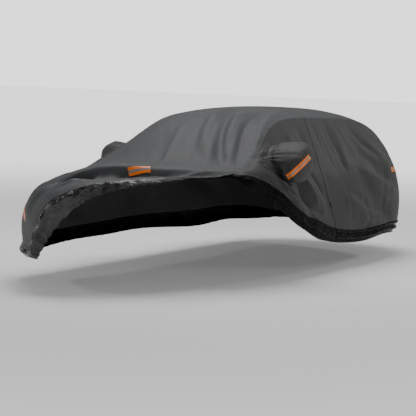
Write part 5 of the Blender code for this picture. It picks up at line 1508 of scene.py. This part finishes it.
def bag(pocket, angle, share):
    """A place on a pocket, by the angle round it and the share from root to tip."""
    rim, middle = mouth(pocket, angle)
    out, wide, tall = (curve(share) for curve in BAG_CURVES)
    spread = rim - middle
    fit = (1 - POCKET_GAP / np.linalg.norm(spread[..., 1:], axis=-1)
           + bag_folds(angle, share))
    x = middle[0] + spread[..., 0] * (1 - ease(share)) + pocket["side"] * pocket["depth"] * out
    y = middle[1] + spread[..., 1] * wide * fit + pocket["back"] * out
    z = middle[2] + spread[..., 2] * tall * fit
    return np.stack([x, y, z], -1)


def step_angles(verts):
    """Each vertex's angle about Z, on one of the pocket's segments."""
    step = 2 * math.pi / POCKET_SEGMENTS
    return np.array([round(math.atan2(vert.co.y, vert.co.x) / step) * step for vert in verts])


def cut_mouth(panel, pocket):
    """Cut a pocket's mouth through its panel, straight out along X."""
    maker = bmesh.new()
    bmesh.ops.create_cone(maker, cap_ends=True, segments=POCKET_SEGMENTS, radius1=1,
                          radius2=1, depth=2)
    rims = mouth(pocket, step_angles(maker.verts))[0]
    for vert, rim in zip(maker.verts, rims):
        vert.co = rim + np.array([math.copysign(CUTTER_REACH, vert.co.z), 0, 0])
    bmesh.ops.recalc_face_normals(maker, faces=maker.faces)
    cutter = add_object(pocket["name"] + "_cutter", maker, finish_named("side_cloth"))
    cutter.hide_render = True
    cutter.display_type = "WIRE"
    cut = panel.modifiers.new("mouth", "BOOLEAN")
    cut.operation = "DIFFERENCE"
    cut.solver = "EXACT"
    cut.object = cutter


def make_pocket(pocket):
    """A bag from the upper half of a sphere, drawn out of its mouth."""
    maker = bmesh.new()
    bmesh.ops.create_uvsphere(maker, u_segments=POCKET_SEGMENTS, v_segments=2 * POCKET_RINGS,
                              radius=1)
    lower = [vert for vert in maker.verts if vert.co.z < -1e-4]
    bmesh.ops.delete(maker, geom=lower, context="VERTS")
    seam = maker.verts.layers.float.new("seam")
    along = maker.verts.layers.float.new("along")
    uv_layer = maker.loops.layers.uv.new("flat")
    verts = maker.verts[:]
    angles = step_angles(verts)
    shares = np.array([math.asin(min(1, max(0, vert.co.z))) / (math.pi / 2) for vert in verts])
    flat = {vert: (angle * POCKET_ROUND, share * pocket["depth"])
            for vert, angle, share in zip(verts, angles, shares)}
    for vert, place in zip(verts, bag(pocket, angles, shares)):
        vert[seam] = flat[vert][1]
        vert[along] = flat[vert][0]
        vert.co = place
    for face in maker.faces:
        for loop in face.loops:
            loop[uv_layer].uv = flat[loop.vert]
    maker.normal_update()
    tip = max(verts, key=lambda vert: vert.co.x * pocket["side"])
    if tip.normal.x * pocket["side"] < 0:
        bmesh.ops.reverse_faces(maker, faces=maker.faces)
    thing = add_object("cover_" + pocket["name"], maker, finish_named("side_cloth"))
    add_thickness(thing, settings().thickness, -1.0)
    settle(thing)
    declare(thing, pocket["name"])


# ---------------------------------------------------------------- strips
def add_strip(strip, middle_line, out):
    """A bright strip let down onto the cloth that carries it."""
    along = unit(np.gradient(middle_line, axis=0))
    sideways = unit(np.cross(out, along))
    shares = np.linspace(-0.5, 0.5, STRIP_CELLS[1] + 1)
    places = (middle_line[:, None] + sideways[:, None] * shares[None, :, None] * STRIP_WIDTH
              + out[:, None] * STRIP_START)
    outward = np.repeat(out[:, None], len(shares), axis=1)
    thing = add_sheet("cover_" + strip["name"], places, outward, "strip_tape")
    wrap = thing.modifiers.new("on_cloth", "SHRINKWRAP")
    wrap.target = bpy.data.objects["cover_" + strip["on"]]
    wrap.wrap_method = "PROJECT"
    wrap.wrap_mode = "ABOVE_SURFACE"
    wrap.use_negative_direction = True
    wrap.use_positive_direction = False
    wrap.offset = strip["clear"]
    add_thickness(thing, TAPE)
    settle(thing)
    declare(thing, strip["name"])


def make_panel_strips(steps):
    for strip in named_rows(STRIPS, STRIP_COLUMNS):
        run = strip["run_0"] + (strip["run_1"] - strip["run_0"]) * steps
        side = strip["side_0"] + (strip["side_1"] - strip["side_0"]) * steps
        add_strip(strip, *cloth(strip["panel"], run, side, finely=False))


def make_pocket_strips(steps):
    for strip in named_rows(POCKET_STRIPS, POCKET_STRIP_COLUMNS):
        first, last, facing = (np.array(strip[key]) for key in POCKET_STRIP_COLUMNS[3:])
        facing = unit(facing)
        line = (first + (last - first) * steps[:, None] - HANG_POINT
                + facing * POCKET_STRIP_START)
        add_strip(strip, line, np.broadcast_to(facing, line.shape))


# ---------------------------------------------------------------- stage and camera
def add_lamp(name, place, aim, size, energy):
    """A soft square lamp that shines at one place."""
    lamp = bpy.data.lights.new(name, "AREA")
    lamp.shape = "RECTANGLE"
    lamp.size, lamp.size_y = size
    lamp.energy = energy * settings().light
    thing = put_in_scene(name, lamp)
    thing.location = place
    thing.rotation_euler = (Vector(aim) - Vector(place)).to_track_quat("-Z", "Y").to_euler()


def make_floor():
    """A plain floor that glows more and more away from the cover."""
    maker = bmesh.new()
    bmesh.ops.create_grid(maker, x_segments=1, y_segments=1, size=FLOOR_HALF)
    bmesh.ops.translate(maker, verts=maker.verts, vec=(0, 0, -HANG_POINT[2]))
    material, tree, shader = start_material("studio_floor", FLOOR_COLOUR, 0.9, 0.1)
    away = add_node(tree, "ShaderNodeVectorMath", {0: object_place(tree)}, operation="LENGTH")
    glow = ranged(tree, away.outputs["Value"], GLOW_FROM, FLOOR_GLOW,
                  interpolation_type="SMOOTHSTEP")
    feed(tree, shader, {"Emission Color": (1.0, 1.0, 1.0, 1.0), "Emission Strength": glow})
    add_object("studio_floor", maker, material)


def make_world():
    """Pale surroundings, which look brighter than the light that they give."""
    world = bpy.data.worlds.new("studio")
    world.use_nodes = True
    tree = world.node_tree
    ground = tree.nodes["Background"]
    ground.inputs[0].default_value = (1.0, 1.0, 1.0, 1.0)
    seen = add_node(tree, "ShaderNodeLightPath").outputs["Is Camera Ray"]
    light = maths(tree, "MULTIPLY_ADD", seen, WORLD_SEEN - WORLD_LIGHT, WORLD_LIGHT)
    tree.links.new(light, ground.inputs[1])
    bpy.context.scene.world = world


def make_camera():
    """The camera that the photo was taken with, found from the cover's outline and seams."""
    yaw, pitch, roll = (math.radians(CAMERA[key]) for key in ("yaw", "pitch", "roll"))
    ahead = Vector((-math.sin(yaw) * math.cos(pitch), math.cos(yaw) * math.cos(pitch),
                    math.sin(pitch)))
    right = ahead.cross(Vector((0, 0, 1))).normalized()
    up = right.cross(ahead)
    turned_right = math.cos(roll) * right + math.sin(roll) * up
    turned_up = math.cos(roll) * up - math.sin(roll) * right
    place = Vector(CAMERA["place"]) - Vector(HANG_POINT)
    lens = bpy.data.cameras.new("photo_camera")
    lens.sensor_width = SENSOR
    lens.lens = CAMERA["focal_px"] * SENSOR / CAMERA["photo_px"]
    lens.clip_end = 200
    camera = put_in_scene("photo_camera", lens)
    turn = Matrix((turned_right, turned_up, -ahead)).transposed().to_4x4()
    camera.matrix_world = Matrix.Translation(place) @ turn
    bpy.context.scene.camera = camera


# ---------------------------------------------------------------- operators
class COVER_OT_panels(bpy.types.Operator):
    """Make the centre, right and two left panels, with the pockets' mouths cut"""

    bl_idname = "cover.make_panels"
    bl_label = "Panels"

    def execute(self, context):
        make_panels()
        return {"FINISHED"}


class COVER_OT_pockets(bpy.types.Operator):
    """Make the two mirror pockets"""

    bl_idname = "cover.make_pockets"
    bl_label = "Mirror Pockets"

    def execute(self, context):
        for pocket in POCKET_ROWS:
            make_pocket(pocket)
        return {"FINISHED"}


class COVER_OT_bands(bpy.types.Operator):
    """Make the four gathered hem bands"""

    bl_idname = "cover.make_bands"
    bl_label = "Hem Bands"

    def execute(self, context):
        front_band()
        left_band()
        tail_band()
        right_band()
        return {"FINISHED"}


class COVER_OT_strips(bpy.types.Operator):
    """Make the bright strips and lay them on the panels and pockets"""

    bl_idname = "cover.make_strips"
    bl_label = "Bright Strips"

    def execute(self, context):
        steps = np.linspace(0, 1, STRIP_CELLS[0] + 1)
        make_panel_strips(steps)
        make_pocket_strips(steps)
        return {"FINISHED"}


class COVER_OT_zip(bpy.types.Operator):
    """Make the closed zip in the left side"""

    bl_idname = "cover.make_zip"
    bl_label = "Zip"

    def execute(self, context):
        make_zip()
        return {"FINISHED"}


class COVER_OT_stage(bpy.types.Operator):
    """Make the plain floor, the soft lamps and the pale surroundings"""

    bl_idname = "cover.make_stage"
    bl_label = "Stage"

    def execute(self, context):
        make_floor()
        make_world()
        for lamp in LAMPS:
            add_lamp(*lamp)
        return {"FINISHED"}


class COVER_OT_camera(bpy.types.Operator):
    """Make the camera at the photo's angle"""

    bl_idname = "cover.make_camera"
    bl_label = "Camera"

    def execute(self, context):
        make_camera()
        return {"FINISHED"}


class COVER_PT_panel(bpy.types.Panel):
    """The cover's settings and operators in the sidebar"""

    bl_idname = "COVER_PT_panel"
    bl_label = "Car Cover"
    bl_space_type = "VIEW_3D"
    bl_region_type = "UI"
    bl_category = "Cover"

    def draw(self, context):
        for name in CoverSettings.__annotations__:
            self.layout.prop(context.scene.car_cover, name)
        for operator in OPERATORS:
            self.layout.operator(operator.bl_idname)


OPERATORS = (COVER_OT_panels, COVER_OT_pockets, COVER_OT_bands, COVER_OT_strips, COVER_OT_zip,
             COVER_OT_stage, COVER_OT_camera)
CLASSES = (CoverSettings, *OPERATORS, COVER_PT_panel)


def register():
    for kind in CLASSES:
        bpy.utils.register_class(kind)
    bpy.types.Scene.car_cover = PointerProperty(type=CoverSettings)


def unregister():
    del bpy.types.Scene.car_cover
    for kind in reversed(CLASSES):
        bpy.utils.unregister_class(kind)


def main():
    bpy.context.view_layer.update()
    register()
    bpy.ops.cover.make_panels()
    bpy.ops.cover.make_pockets()
    bpy.ops.cover.make_bands()
    bpy.ops.cover.make_strips()
    bpy.ops.cover.make_zip()
    bpy.ops.cover.make_stage()
    bpy.ops.cover.make_camera()


if __name__ == "__main__":
    main()
